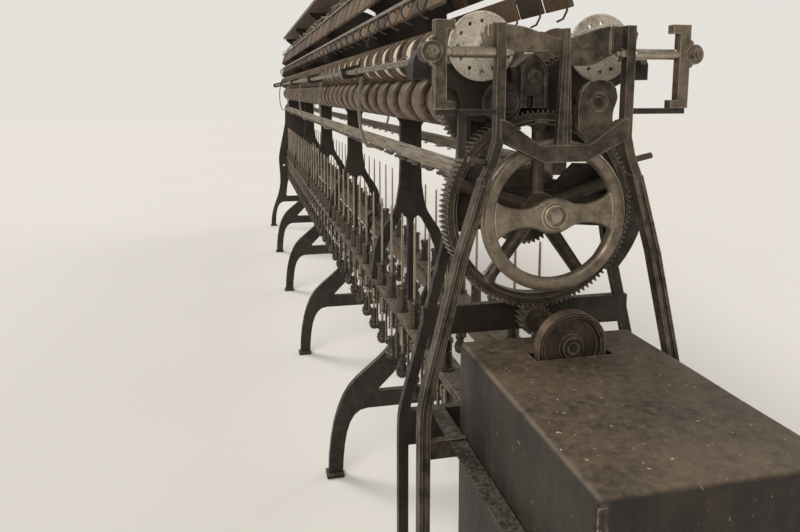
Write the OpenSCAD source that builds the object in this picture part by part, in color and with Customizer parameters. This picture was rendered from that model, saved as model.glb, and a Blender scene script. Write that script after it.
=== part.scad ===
// Two-sided silk throwing frame: a long row of vertical spindles on each side,
// take-up bobbins turned by wooden rolls above them, and a geared head at one end.
// X is across the machine, Y runs from the head (-Y) to the far end (+Y), Z is up.
// The origin is on the floor in the middle of the machine.

/* [Length] */
// Distance between two leg frames
bay = 1155; // [900:5:1400]
// Number of full bays
bays = 4; // [2:1:4]
// Distance from the rear head frame to the first leg frame
head_bay = 983; // [960:1:1100]
// Distance between the two head frames, centre to centre
head_gap = 135; // [134:1:150]
// Room for the drive belt between the guard and the front head frame
guard_gap = 85; // [66:1:120]

/* [Frames] */
// Thickness of a leg frame
frame_t = 22; // [16:1:30]
// Thickness of the rear head frame
rear_t = 16; // [12:1:18]
// Depth of the front head frame's ribs
front_t = 24; // [16:1:26]
// Width of a limb of the head frames
limb_w = 20; // [16:1:26]
// Thickness of a foot pad
pad_h = 12; // [8:1:20]
// Width of the central post of a leg frame
post_w = 70; // [56:1:80]
// Height of the top of a leg frame
post_top = 1345; // [1340:1:1352]

/* [Spindles] */
// Spindles in each full bay, on each side
per_bay = 8; // [6:1:8]
// Spindles in the head bay, on each side
per_head = 6; // [4:1:6]
// Distance of a spindle row from the machine's centre
spindle_x = 110; // [108:1:113]
// Diameter of a spindle blade
blade_d = 7; // [5:0.5:9]
// Height of a blade's tip
blade_top = 965; // [920:5:1000]
// Diameter of the bolster tube
bolster_d = 29; // [24:1:32]
// Height of the bolster's collar
bolster_top = 757; // [745:1:780]
// Diameter of the wharve that the belt drives
wharve_d = 20; // [16:1:24]
// Height of the spindle rail's underside
rail_z = 664; // [660:1:670]
// Thickness of the spindle rail
rail_t = 20; // [16:1:24]
// Width of the spindle rail
rail_w = 56; // [50:1:60]
// Height of the knob's underside
knob_z = 486; // [480:1:500]
// Diameter of the foot-step knob
knob_d = 38; // [32:1:42]

/* [Belt] */
// Width of the spindle belt
belt_w = 50; // [40:1:56]
// Thickness of the belts
belt_t = 2; // [1.5:0.5:3]
// Height of the spindle belt's lower edge
belt_z = 587; // [584:1:590]

/* [Rolls and bobbins] */
// Radius of a wooden roll
roll_r = 57; // [50:1:60]
// Width of a roll
roll_w = 76; // [70:1:78]
// Height of the roll shafts
roll_z = 1281; // [1279:1:1283]
// Radius of the roll shafts
roll_shaft_r = 9; // [7:0.5:11]
// Distance of the bobbin shafts from the centre
bobbin_x = 116; // [114:1:118]
// Height of the bobbin shafts
bobbin_z = 1380; // [1378:1:1384]
// Radius of the bobbin shafts
bobbin_shaft_r = 7; // [5:0.5:8]
// Radius of a bobbin's flanges
flange_r = 60; // [50:1:61]
// Thickness of a bobbin's flange
flange_t = 7; // [5:1:8]
// Thickness of a roll bracket
bracket_t = 12; // [8:1:13]
// Radius of the pale end discs
disc_r = 62; // [56:1:70]
// Thickness of the end discs
disc_t = 7; // [5:1:8]

/* [Thread guides] */
// Width of the guide rail
guide_w = 32; // [26:1:36]
// Height of the guide rail's underside
guide_z = 1128; // [1124:1:1134]
// Thickness of the guide rail
guide_t = 27; // [20:1:30]
// Distance of the traverse rods from the centre
traverse_x = 209; // [206:1:212]
// Height of the traverse rods
traverse_z = 1357; // [1355:1:1359]
// Radius of the traverse rods
traverse_r = 7; // [5:0.5:8]
// Length of a traverse stroke, each way
stroke = 20; // [12:1:24]

/* [Creel] */
// Height of the shelf's underside
shelf_z = 1790; // [1760:5:1850]
// Width of the shelf
shelf_w = 240; // [200:5:280]
// Thickness of the shelf
shelf_t = 18; // [14:1:24]
// Thickness of a creel board
board_t = 10; // [8:1:12]
// Width of an upper post
upper_w = 56; // [44:1:64]

/* [Gears] */
// Module of the teeth
gear_m = 3.175; // [3.175:0.001:3.176]
// Teeth on the large gear
gear_n = 116; // [114:1:118]
// Teeth on the drive pinion
pinion_n = 18; // [16:1:20]
// Teeth on the main shaft's change gear
change_n = 48; // [47:1:49]
// Teeth on the idler
idler_n = 21; // [20:1:22]
// Teeth on each roll gear
roll_n = 56; // [55:1:57]
// Face width of the large gear
gear_w = 37; // [30:1:38]
// Face width of the small gears
train_w = 20; // [14:1:24]
// Height of the main shaft
main_z = 1080; // [1078:1:1082]
// Radius of the main shaft
main_r = 14; // [10:1:16]
// Outside diameter of the handwheel
wheel_d = 275; // [240:5:285]
// Radial width of the handwheel's rim
wheel_rim = 25; // [20:1:30]

/* [Guard] */
// Width of the guard box
guard_w = 340; // [300:5:380]
// Length of the guard box
guard_l = 510; // [480:5:560]
// Clearance between the guard box and the drive pinion
guard_clear = 40; // [10:1:60]
// Length of the motor's bay in the guard box
motor_bay = 380; // [340:5:390]
// Height of the guard box
guard_h = 855; // [800:5:860]
// Thickness of the guard's sheet
sheet = 3; // [2:0.5:5]
// Height of the motor's shaft
motor_z = 300; // [280:5:340]
// Radius of the motor
motor_r = 95; // [80:1:110]

/* [Hidden] */
$fn = 48;
// Running clearance of a shaft in its bore
run = 0.05;
// Gap between pieces that move past each other
gap = 0.3;
guard_reach = motor_bay + guard_gap;
total_len = guard_reach + head_gap + head_bay + bays * bay + frame_t / 2;
y_front = -total_len / 2;
y_head = y_front + guard_reach;
y_rear = y_head + head_gap;
y_first = y_rear + head_bay;
y_end = y_first + bays * bay;
y_end_face = y_end - frame_t / 2;
pitch = bay / per_bay;
// Places along the machine of the spindles, rolls and bobbins
stations = concat(
    [for (i = [per_head - 1:-1:0]) y_first - pitch * (i + 0.5)],
    [for (b = [0:bays - 1]) for (i = [0:per_bay - (b == bays - 1 ? 2 : 1)]) y_first + b * bay + pitch * (i + 0.5)]
);
first_station = stations[0];
last_station = stations[len(stations) - 1];
// The nearest spindles on the left turn in their bolsters
loose_spindles = 3;
inner_legs = [for (b = [0:bays - 1]) y_first + b * bay];
bracket_ys = concat([for (y = inner_legs) y - frame_t / 2 - bracket_t / 2], [y_end_face - bracket_t / 2]);

function bez(a, b, c, d, n) = [for (i = [0:n]) let (t = i / n, u = 1 - t)
    u * u * u * a + 3 * u * u * t * b + 3 * u * t * t * c + t * t * t * d];
function flip(p) = [for (i = [len(p) - 1:-1:0]) [-p[i][0], p[i][1]]];
function both(p) = concat(p, flip(p));
function shifted(p, s) = [for (q = p) [q[0] + s, q[1]]];
function strip(p, w) = concat(shifted(p, w / 2), [for (i = [len(p) - 1:-1:0]) [p[i][0] - w / 2, p[i][1]]]);
// A band of even width along a curved path
function across(p, i) = let (d = p[min(i + 1, len(p) - 1)] - p[max(i - 1, 0)]) [-d[1], d[0]] / norm(d);
function band(p, w) = concat([for (i = [0:len(p) - 1]) p[i] + w / 2 * across(p, i)],
    [for (i = [len(p) - 1:-1:0]) p[i] - w / 2 * across(p, i)]);

// Gear geometry: flanks follow the involute of a 20 degree base circle
pressure = 20;
backlash = 0.16;
function pitch_r(n) = gear_m * n / 2;
function inv_deg(rb, r) = r <= rb ? 0 : sqrt(r * r / rb / rb - 1) * 180 / PI - acos(rb / r);
function half_tooth(n, r) = 90 / n * (1 - backlash) + inv_deg(pitch_r(n) * cos(pressure), pitch_r(n))
    - inv_deg(pitch_r(n) * cos(pressure), r);
function polar(r, a) = [r * cos(a), r * sin(a)];
function gear_outline(n) = let (rp = pitch_r(n), ro = rp + 0.9 * gear_m, rr = rp - 1.2 * gear_m, rm = rp - 0.5 * gear_m)
    [for (k = [0:n - 1]) let (a = 360 * k / n) each [
        polar(rr, a - 180 / n + 30 / n),
        polar(rr, a - half_tooth(n, rm) - 8 / n),
        polar(rp, a - half_tooth(n, rp)),
        polar(ro, a - half_tooth(n, ro)),
        polar(ro, a + half_tooth(n, ro)),
        polar(rp, a + half_tooth(n, rp)),
        polar(rr, a + half_tooth(n, rm) + 8 / n)
    ]];
// Turn of a gear so that its gaps meet the teeth of the one that drives it
function mesh_turn(n_a, turn_a, n_b, dir) = dir + 180 - (0.5 - (dir - turn_a) * n_a / 360) * 360 / n_b;

roll_x = pitch_r(roll_n);
main_pos = [0, main_z];
roll_l = [-roll_x, roll_z];
roll_rt = [roll_x, roll_z];
// The idler sits where its pitch circle meets both the change gear and the left roll gear
leg_a = pitch_r(change_n) + pitch_r(idler_n);
leg_b = pitch_r(roll_n) + pitch_r(idler_n);
centre_d = norm(roll_l - main_pos);
along = (centre_d * centre_d + leg_a * leg_a - leg_b * leg_b) / (2 * centre_d);
aside = sqrt(leg_a * leg_a - along * along);
unit = (roll_l - main_pos) / centre_d;
idler_pos = main_pos + along * unit + aside * [-unit[1], unit[0]];
pinion_z = main_z - pitch_r(gear_n) - pitch_r(pinion_n);
dir_idler = atan2(idler_pos[1] - main_z, idler_pos[0]);
dir_roll = atan2(roll_z - idler_pos[1], -roll_x - idler_pos[0]);
turn_idler = mesh_turn(change_n, 0, idler_n, dir_idler);
turn_left = mesh_turn(idler_n, turn_idler, roll_n, dir_roll);
turn_right = mesh_turn(roll_n, turn_left, roll_n, 0);
turn_pinion = mesh_turn(gear_n, 0, pinion_n, -90);

bobbin_r = norm([bobbin_x - roll_x, bobbin_z - roll_z]) - roll_r - gap;
y_gear = y_rear - rear_t / 2 - 5 - gear_w;
y_wheel = y_head + front_t / 2 + 4;
wheel_t = 22;
y_train = y_rear + rear_t / 2 + 10;
y_disc = y_rear + rear_t / 2 + 1;
guide_x = spindle_x + 8 - guide_w;
bolster_z = rail_z + rail_t;
wharve_z = belt_z - 3;
wharve_h = belt_w + 6;
belt_x = spindle_x - wharve_d / 2 - gap;
pulley_r = belt_x - belt_t - gap;
y_pulley_head = first_station - 64;
y_pulley_end = min(last_station + 100, y_end_face - belt_x - 12);
arm_z = belt_z + belt_w + 8;
countershaft_r = 10;
counter_pulley_r = 60;
motor_pulley_r = 45;
y_drive = y_front + motor_bay + 30;
y_guard_back = y_gear - guard_clear;
y_guard = y_guard_back - guard_l;
y_motor = y_front + motor_bay - 60;
drive_w = 26;
creel_y0 = first_station - 30;
guide_y0 = y_train + train_w + 50;

module sides() {
    children();
    mirror([1, 0, 0]) children();
}
// An outline in X and Z, made solid over a thickness centred on y
module plate(y, t) {
    translate([0, y + t / 2, 0]) rotate([90, 0, 0]) linear_extrude(t) children();
}
module bar_y(x, z, r, y0, y1) {
    translate([x, y0, z]) rotate([-90, 0, 0]) cylinder(r = r, h = y1 - y0);
}
module at_xz(p) {
    translate([p[0], 0, p[1]]) children();
}
// A gear with its axis along Y, its front face at y0
module gear(n, w, turn, bore, y0) {
    translate([0, y0 + w, 0]) rotate([90, 0, 0]) linear_extrude(w) difference() {
        rotate(turn) polygon(gear_outline(n));
        circle(r = bore);
    }
}

// Head frames
head_path = concat(
    [[140, 1154], [184, 1010]],
    bez([228, 830], [240, 780], [246, 760], [246, 720], 4),
    [[246, pad_h]]
);
rear_path = concat(
    [[132, 1296], [140, 1154], [167, 1010]],
    bez([232, 760], [246, 710], [252, 690], [252, 650], 4),
    [[252, pad_h]]
);
bearer_z = 660;
module head_limb_2d(path, w) {
    sides() polygon(strip(path, w));
}
module yoke_2d() {
    polygon(both([[0, 1180], [38, 1180], [46, 1183], [upper_x, 1218], [upper_x, 1254], [104, 1250], [50, 1212],
        [42, 1209], [0, 1209]]));
}
// The upper part of a limb is a plain bar, without the ribs of the lower part
upper_w_limb = 16;
upper_x = 118;
upper_path = concat([[upper_x, 1412], [upper_x, 1222]], bez([upper_x, 1222], [124, 1190], [134, 1170], [140, 1154], 3),
    [[144, 1141]]);
module head_frame_front() {
    color("dimgray") {
        plate(y_head, front_t * 0.8) head_limb_2d(upper_path, upper_w_limb);
        sides() translate([126, y_head, 1178]) rotate([0, 78, 0]) cylinder(r = 5.5, h = 46);
        plate(y_head, front_t / 2) head_limb_2d(head_path, limb_w);
        plate(y_head, front_t) head_limb_2d(shifted(head_path, -limb_w / 2 + 3), 6);
        plate(y_head, front_t) head_limb_2d(shifted(head_path, limb_w / 2 - 3), 6);
        plate(y_head, front_t) yoke_2d();
        plate(y_head, front_t / 2) polygon([[-14, 1196], [14, 1196], [5, 1405], [-5, 1405]]);
        plate(y_head, front_t * 0.8) polygon([[-4, 1196], [4, 1196], [2.5, 1405], [-2.5, 1405]]);
        sides() plate(y_head, front_t / 2) translate([guard_w / 2, bearer_z]) square([240 - guard_w / 2, 34]);
        sides() translate([216, y_head - 30, 0]) cube([60, 60, pad_h]);
    }
}
module rear_web_2d() {
    head_limb_2d(rear_path, limb_w);
    polygon(both([[0, 1236], [60, 1236], [128, 1248], [150, 1300], [206, 1330], [206, 1350], [130, 1350], [0, 1350]]));
    polygon(both([[0, 1044], [60, 1044], [163, 1036], [148, 1160], [90, 1162], [40, 1112], [0, 1112]]));
    translate([-214, pinion_z - 30]) square([428, 56]);
    translate([-246, 620]) square([492, 70]);
}
module head_frame_rear() {
    color("dimgray") difference() {
        union() {
            plate(y_rear, rear_t) rear_web_2d();
            sides() plate(y_rear + 12, rear_t + 24) polygon([[198, 1322], [236, 1322], [236, 1352], [226, 1374],
                [194, 1374], [192, 1340]]);
            sides() translate([222, y_rear - 30, 0]) cube([60, 60, pad_h]);
        }
        sides() bar_y(roll_x, roll_z, roll_shaft_r + run, y_rear - rear_t, y_rear + rear_t);
        sides() bar_y(traverse_x, traverse_z, traverse_r + run, y_rear - rear_t, y_rear + 40);
        bar_y(0, main_z, main_r + run, y_rear - rear_t, y_rear + rear_t);
        bar_y(0, pinion_z, countershaft_r + run, y_rear - rear_t, y_rear + rear_t);
    }
}

// Leg frames
leg_outer = concat(
    [[285, 0]],
    bez([285, 0], [282, 170], [250, 290], [185, 345], 7),
    bez([185, 345], [110, 410], [52, 440], [36, 530], 7)
);
leg_arms = concat(
    [[58, 578], [84, belt_z + belt_w + 11], [spindle_x + 22, rail_z - 10], [spindle_x + 24, 700], [122, 785]],
    bez([122, 785], [112, 850], [62, 880], [48, 930], 5),
    [[post_w / 2 + 2, 1000], [post_w / 2, 1060], [post_w / 2, post_top]]
);
module leg_arch_2d() {
    polygon(both(concat([[238, -1]], bez([237, 0], [232, 150], [215, 235], [150, 235], 7))));
}
module leg_window_2d() {
    polygon([[9, 600], [30, 590], [58, 650], [58, 690], [92, 715], [86, 780], [62, 840], [40, 880], [24, 893],
        [12, 885], [9, 870]]);
}
module rail_slot(y) {
    sides() translate([spindle_x + 16 - rail_w, y - frame_t, rail_z]) cube([rail_w + 20, 2 * frame_t, rail_t]);
}
module leg_frame(y) {
    color("darkslategray") {
        difference() {
            plate(y, frame_t) difference() {
                polygon(both(concat(leg_outer, leg_arms)));
                leg_arch_2d();
                polygon(both([[105, 292], [112, 300], [62, 350], [8, 418]]));
                sides() leg_window_2d();
            }
            rail_slot(y);
        }
        sides() translate([234, y - 26, 0]) cube([58, 52, pad_h]);
    }
}
module leg_frame_1() leg_frame(y_first);
module leg_frame_2() leg_frame(y_first + bay);
module leg_frame_3() leg_frame(y_first + 2 * bay);
module leg_frame_4() leg_frame(y_first + 3 * bay);
end_outer = concat(
    [[280, 0]],
    bez([280, 0], [278, 150], [240, 210], [210, 300], 6),
    bez([210, 300], [180, 390], [180, 460], [188, 560], 4),
    bez([192, 620], [196, 690], [180, 740], [162, 829], 5),
    [[126, 1000], [122, guide_z + guide_t], [90, 1200], [60, post_top]]
);
module end_frame() {
    color("darkslategray") {
        plate(y_end, frame_t) difference() {
            polygon(both(end_outer));
            leg_arch_2d();
            polygon(both(concat([[122, 290]], bez([128, 300], [118, 400], [112, 450], [86, 505], 4), [[60, 515]])));
            sides() translate([145, 592]) circle(r = 9);
        }
        sides() translate([228, y_end - 26, 0]) cube([58, 26 + frame_t / 2, pad_h]);
    }
}

// Spindle rails, bolsters and spindles
module knob() {
    translate([0, 0, knob_z]) rotate_extrude() polygon(concat(
        [[0, 0]],
        [for (a = [-60:30:60]) [knob_d / 2 * cos(a), knob_d / 2 * (1 + sin(a)) * 0.62]],
        [[12, 44], [15, 50], [15, 58], [11, 62], [11, arm_z - knob_z - wharve_h - 20], [0, arm_z - knob_z - wharve_h - 20]]
    ));
}
module bolster() {
    translate([0, 0, bolster_z]) cylinder(d = bolster_d, h = bolster_top - bolster_z);
    translate([0, 0, bolster_top - 9]) cylinder(d = bolster_d + 6, h = 7);
    translate([0, 0, rail_z - 12]) cylinder(d = bolster_d - 4, h = 12);
}
// The arm outside the belt that carries the foot-step below the wharve
module step_arm() {
    translate([wharve_d / 2 + 4, -6, knob_z + 50]) cube([5, 12, rail_z - knob_z - 50]);
    translate([0, -6, knob_z + 50]) cube([wharve_d / 2 + 9, 12, 8]);
    translate([wharve_d / 2 + 8, 0, rail_z - 30]) rotate([0, 60, 0]) cylinder(r = 3, h = 16);
}
module spindle() {
    translate([0, 0, wharve_z]) cylinder(d = wharve_d, h = wharve_h);
    translate([0, 0, knob_z + 66]) cylinder(d = blade_d, h = blade_top - 4 - knob_z - 66);
    translate([0, 0, blade_top - 4]) cylinder(d1 = blade_d, d2 = blade_d - 3, h = 4, $fn = 24);
}
module seat_bore() {
    translate([0, 0, knob_z + 60]) cylinder(r = blade_d / 2 + run, h = blade_top);
}
module spindle_rail(loose) {
    difference() {
        union() {
            translate([spindle_x + 16 - rail_w, y_rear + rear_t / 2, rail_z])
                cube([rail_w, y_end_face - y_rear - rear_t / 2, rail_t]);
            for (y = stations) translate([spindle_x, y, 0]) {
                bolster();
                knob();
                step_arm();
            }
            for (i = [loose:len(stations) - 1]) translate([spindle_x, stations[i], 0]) spindle();
        }
        for (i = [0:1:loose - 1]) translate([spindle_x, stations[i], 0]) seat_bore();
    }
}
module spindle_rail_left() {
    color("slategray") mirror([1, 0, 0]) spindle_rail(loose_spindles);
}
module spindle_rail_right() {
    color("slategray") spindle_rail(0);
}
module loose_spindle(i) {
    color("silver") translate([-spindle_x, stations[i], 0]) spindle();
}
module spindle_1() loose_spindle(0);
module spindle_2() loose_spindle(1);
module spindle_3() loose_spindle(2);

// Spindle belt and its two pulleys
module belt_loop_2d(r) {
    translate([0, y_pulley_head]) circle(r = r);
    translate([0, y_pulley_end]) circle(r = r);
    translate([-r, y_pulley_head]) square([2 * r, y_pulley_end - y_pulley_head]);
}
module spindle_belt() {
    color("saddlebrown") translate([0, 0, belt_z]) linear_extrude(belt_w) difference() {
        belt_loop_2d(belt_x);
        belt_loop_2d(belt_x - belt_t);
    }
}
pin_r = 10;
module belt_pulley(y) {
    translate([0, y, belt_z]) rotate_extrude() polygon([[pin_r + run, 0], [24, 0], [24, 12], [pulley_r - 10, 16],
        [pulley_r - 10, 0], [pulley_r, 0], [pulley_r, belt_w], [pulley_r - 10, belt_w], [pulley_r - 10, 28],
        [24, 32], [24, belt_w], [pin_r + run, belt_w]]);
}
module belt_pulley_head() {
    color("dimgray") belt_pulley(y_pulley_head);
}
module belt_pulley_end() {
    color("dimgray") belt_pulley(y_pulley_end);
}
module pulley_pin(y) {
    translate([0, y, belt_z - 30]) cylinder(r = pin_r, h = belt_w + 44);
    translate([0, y, belt_z - 30]) cylinder(r = 22, h = 30 - gap);
}
module pulley_brackets() {
    color("dimgray") {
        pulley_pin(y_pulley_head);
        translate([-24, y_rear + rear_t / 2, belt_z - 40]) cube([48, y_pulley_head - y_rear - rear_t / 2 + 24, 14]);
        translate([-24, y_rear + rear_t / 2, belt_z - 40]) cube([48, 10, 110]);
        pulley_pin(y_pulley_end);
        translate([-24, y_pulley_end - 24, belt_z - 40]) cube([48, y_end_face - y_pulley_end + 24, 14]);
        translate([-24, y_end_face - 10, belt_z - 40]) cube([48, 10, 110]);
    }
}

// Roll brackets, shafts, rolls and bobbins
bracket_half = [[0, 1190], [32, 1190], [62, 1238], [112, 1254], [118, 1281], [112, 1310], [108, 1334], [140, 1352],
    [205, 1338], [226, 1341], [229, 1370], [205, 1377], [148, 1390], [130, 1402], [104, 1402], [64, 1350], [0, post_top]];
module roll_bracket(y) {
    difference() {
        plate(y, bracket_t) polygon(both(bracket_half));
        sides() bar_y(roll_x, roll_z, roll_shaft_r + run, y - bracket_t, y + bracket_t);
        sides() bar_y(bobbin_x, bobbin_z, bobbin_shaft_r + run, y - bracket_t, y + bracket_t);
        sides() bar_y(traverse_x, traverse_z, traverse_r + run, y - bracket_t, y + bracket_t);
    }
}
module roll_brackets() {
    color("dimgray") for (y = bracket_ys) roll_bracket(y);
}
y_roll_shaft = y_head + 24;
// Front of the bearing block that stands out from the rear frame
y_house = y_rear - rear_t / 2 - 60;
y_shaft_end = y_end_face - 2;
module roll() {
    rotate([90, 0, 0]) rotate_extrude($fn = 64) polygon([[roll_shaft_r - 1, -roll_w / 2], [roll_r - 2, -roll_w / 2],
        [roll_r, -roll_w / 2 + 2], [roll_r, roll_w / 2 - 2], [roll_r - 2, roll_w / 2], [roll_shaft_r - 1, roll_w / 2]]);
}
module rolls(x) {
    color("peru") difference() {
        for (y = stations) translate([x, y, roll_z]) roll();
        bar_y(x, roll_z, roll_shaft_r, y_roll_shaft, y_shaft_end);
    }
}
module rolls_left() rolls(-roll_x);
module rolls_right() rolls(roll_x);
module roll_shaft_left() {
    color("silver") {
        bar_y(-roll_x, roll_z, roll_shaft_r, y_roll_shaft, y_shaft_end);
        bar_y(-roll_x, roll_z, 17, y_roll_shaft + 4, y_roll_shaft + 20);
        bar_y(-roll_x, roll_z, 26, y_roll_shaft + 24, y_house - 7);
        bar_y(-roll_x, roll_z, 36, y_house - 7, y_house - 3);
    }
}
y_cam = y_roll_shaft + 18;
cam_t = 12;
module roll_shaft_right() {
    color("silver") {
        bar_y(roll_x, roll_z, roll_shaft_r, y_cam + 2, y_shaft_end);
        bar_y(roll_x, roll_z, 17, y_cam + cam_t, y_cam + cam_t + 24);
    }
}
// Egg-shaped plate cam on the end of the right roll shaft, recessed round the shaft
cam_shape = concat(
    bez([0, 40], [-34, 40], [-42, 10], [-40, -22], 5),
    bez([-38, -48], [-26, -74], [-4, -74], [14, -68], 5),
    bez([30, -50], [28, -34], [24, -20], [34, 0], 5),
    bez([36, 10], [34, 34], [18, 40], [0, 40], 4)
);
module plate_cam() {
    color("gray") difference() {
        plate(y_cam + cam_t / 2, cam_t) translate([roll_x, roll_z]) polygon(cam_shape);
        bar_y(roll_x, roll_z, roll_shaft_r, y_cam - 1, y_cam + cam_t + 1);
        bar_y(roll_x, roll_z, 16, y_cam - 1, y_cam + 6);
    }
}
module roll_gear(x, turn) {
    color("dimgray") translate([x, 0, roll_z]) {
        gear(roll_n, train_w, turn, roll_shaft_r, y_train);
        difference() {
            bar_y(0, 0, 22, y_train + train_w, y_train + train_w + 12);
            bar_y(0, 0, roll_shaft_r, y_train, y_train + train_w + 20);
        }
    }
}
module roll_gear_left() roll_gear(-roll_x, turn_left);
module roll_gear_right() roll_gear(roll_x, turn_right);
module bobbin() {
    half = roll_w / 2 + 2 + flange_t;
    rotate([90, 0, 0]) rotate_extrude() polygon([[bobbin_shaft_r - 1, -half], [flange_r - 2, -half],
        [flange_r, 2 - half], [flange_r, flange_t - 2 - half], [flange_r - 2, flange_t - half],
        [bobbin_r, flange_t - half], [bobbin_r, half - flange_t], [flange_r - 2, half - flange_t],
        [flange_r, half - flange_t + 2], [flange_r, half - 2], [flange_r - 2, half], [bobbin_shaft_r - 1, half]]);
}
module bobbins(x) {
    color("burlywood") difference() {
        for (y = stations) translate([x, y, bobbin_z]) bobbin();
        bar_y(x, bobbin_z, bobbin_shaft_r, y_head, y_shaft_end);
    }
}
module bobbins_left() bobbins(-bobbin_x);
module bobbins_right() bobbins(bobbin_x);
module bobbin_shaft(x) {
    color("silver") bar_y(x, bobbin_z, bobbin_shaft_r, y_head + front_t / 2 + 1, y_shaft_end);
}
module bobbin_shaft_left() bobbin_shaft(-bobbin_x);
module bobbin_shaft_right() bobbin_shaft(bobbin_x);
// Pale perforated disc on the head end of a bobbin shaft
module end_disc(x, turn) {
    color("lightgray") translate([x, 0, bobbin_z]) difference() {
        union() {
            bar_y(0, 0, disc_r, y_disc, y_disc + disc_t);
            bar_y(0, 0, 20, y_disc - 6, y_disc + disc_t);
        }
        bar_y(0, 0, bobbin_shaft_r, y_disc - 10, y_disc + disc_t + 10);
        for (a = [0:30:330]) rotate([0, a + turn, 0]) bar_y(disc_r * 0.52, 0, 3.2, y_disc - 10, y_disc + disc_t + 10);
    }
}
module end_disc_left() end_disc(-bobbin_x, 6);
module end_disc_right() end_disc(bobbin_x, -6);

// Guide rails and the bowed straps that carry them
module guide_rail_left() {
    color("tan") mirror([1, 0, 0]) guide_rail();
}
module guide_rail_right() {
    color("tan") guide_rail();
}
module guide_rail() {
    translate([guide_x, guide_y0, guide_z]) cube([guide_w, y_end_face - guide_y0, guide_t]);
}
// Pigtail eyes under the guide rail, one over each spindle
module eyes() {
    for (y = stations) translate([spindle_x, y, guide_z - 14]) {
        difference() {
            cylinder(r = 7, h = 3, $fn = 24);
            translate([0, 0, -1]) cylinder(r = 4.6, h = 5, $fn = 24);
        }
        translate([0, -5.8, 0]) cylinder(r = 1.5, h = 14, $fn = 16);
    }
}
module thread_eyes() {
    color("dimgray") sides() eyes();
}
strap_path = concat(
    [[guide_x + 2, guide_z - 4], [guide_x + guide_w + 6, guide_z - 4]],
    bez([146, guide_z - 2], [166, 1150], [178, 1225], [170, 1300], 7),
    [[166, 1330], [162, 1352]]
);
module guide_straps() {
    color("dimgray") for (y = bracket_ys) sides() plate(y, bracket_t) difference() {
        polygon(band(strap_path, 8));
        translate([guide_x - 1, guide_z]) square([guide_w + 1, guide_t]);
        polygon(bracket_half);
    }
}

// Traverse rods with a finger for each bobbin
module traverse_rod(s) {
    color("silver") mirror([s < 0 ? 1 : 0, 0, 0]) {
        bar_y(traverse_x, traverse_z, traverse_r, y_rear - rear_t / 2 - stroke - 8, y_end_face + 6);
        for (y = stations) translate([traverse_x - 2, y, traverse_z]) rotate([0, -62, 0]) cylinder(r = 2.2, h = 48, $fn = 16);
        for (y = inner_legs) bar_y(traverse_x, traverse_z, traverse_r + 3, y - 240, y - 212);
    }
}
module traverse_rod_left() traverse_rod(-1);
module traverse_rod_right() traverse_rod(1);

// Creel above the bobbins
module upper_posts() {
    color("dimgray") for (y = concat(inner_legs, [y_end])) plate(y, 14)
        polygon(both([[upper_w / 2, post_top], [upper_w / 2, creel_at(0.8)], [shelf_w / 2 - 24, shelf_z - 14],
            [shelf_w / 2 - 24, shelf_z]]));
    color("dimgray") creel_arms();
}
// Height that is a share of the way from above the bobbins up to the shelf
function creel_at(t) = bobbin_z + 60 + t * (shelf_z - bobbin_z - 60);
low_board = [[158, creel_at(0)], [126, creel_at(0.26)]];
top_board = [[152, creel_at(0.34)], [122, creel_at(0.6)]];
module board_2d(b) {
    polygon([b[0], b[1], [b[1][0] - board_t, b[1][1]], [b[0][0] - board_t, b[0][1]]]);
}
module creel_boards() {
    color("saddlebrown") plate((creel_y0 + y_end_face) / 2, y_end_face - creel_y0) sides() {
        board_2d(low_board);
        board_2d(top_board);
    }
}
module creel_arms() {
    for (y = concat(inner_legs, [y_end])) plate(y - 7 - 5, 10)
        polygon(both([[0, creel_at(-0.08)], [24, creel_at(-0.08)], [120, creel_at(-0.02)],
            [low_board[0][0] - board_t, low_board[0][1]], [low_board[1][0] - board_t, low_board[1][1]],
            [low_board[1][0] - board_t, creel_at(0.3)], [top_board[0][0] - board_t, top_board[0][1]],
            [top_board[1][0] - board_t, top_board[1][1]], [60, creel_at(0.66)], [0, creel_at(0.7)]]));
}
rod_r = 5;
// Centre of a rod that lies on a board's outer face, part of the way up
function on_board(b, t) = b[0] + t * (b[1] - b[0])
    + (rod_r + 0.1) * [b[1][1] - b[0][1], b[0][0] - b[1][0]] / norm(b[1] - b[0]);
module hook_rods() {
    color("silver") sides() for (p = [on_board(low_board, 0.85), on_board(top_board, 0.85)])
        bar_y(p[0], p[1], rod_r, creel_y0, y_end_face);
}
module shelf_board() {
    color("sienna") translate([-shelf_w / 2, creel_y0, shelf_z]) cube([shelf_w, y_end + frame_t / 2 - creel_y0, shelf_t]);
}

// Head: main shaft, large gear, handwheel and gear train
nose_r = main_r - 3;
module main_shaft() {
    color("silver") at_xz(main_pos) {
        bar_y(0, 0, main_r, y_wheel + 4, y_train + train_w + 46);
        bar_y(0, 0, nose_r, y_wheel - 2, y_wheel + 4);
    }
}
gear_rim = pitch_r(gear_n) - 1.2 * gear_m - 12;
module large_gear() {
    color("dimgray") at_xz(main_pos) difference() {
        union() {
            difference() {
                gear(gear_n, gear_w, 0, gear_rim - 8, y_gear);
                bar_y(0, 0, gear_rim, y_gear - 1, y_gear + 8);
                bar_y(0, 0, gear_rim, y_gear + gear_w - 8, y_gear + gear_w + 1);
            }
            bar_y(0, 0, 34, y_gear, y_gear + gear_w);
            for (a = [90:72:378]) rotate([0, -a, 0]) {
                translate([20, y_gear + gear_w / 2, 0]) rotate([0, 90, 0]) cylinder(r1 = 14, r2 = 12, h = gear_rim - 22);
                translate([gear_rim - 22, y_gear + gear_w / 2, 0]) rotate([0, 90, 0]) cylinder(r1 = 12, r2 = 16, h = 18);
            }
        }
        bar_y(0, 0, main_r, y_gear - 1, y_gear + gear_w + 1);
    }
}
wheel_ri = wheel_d / 2 - wheel_rim;
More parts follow.
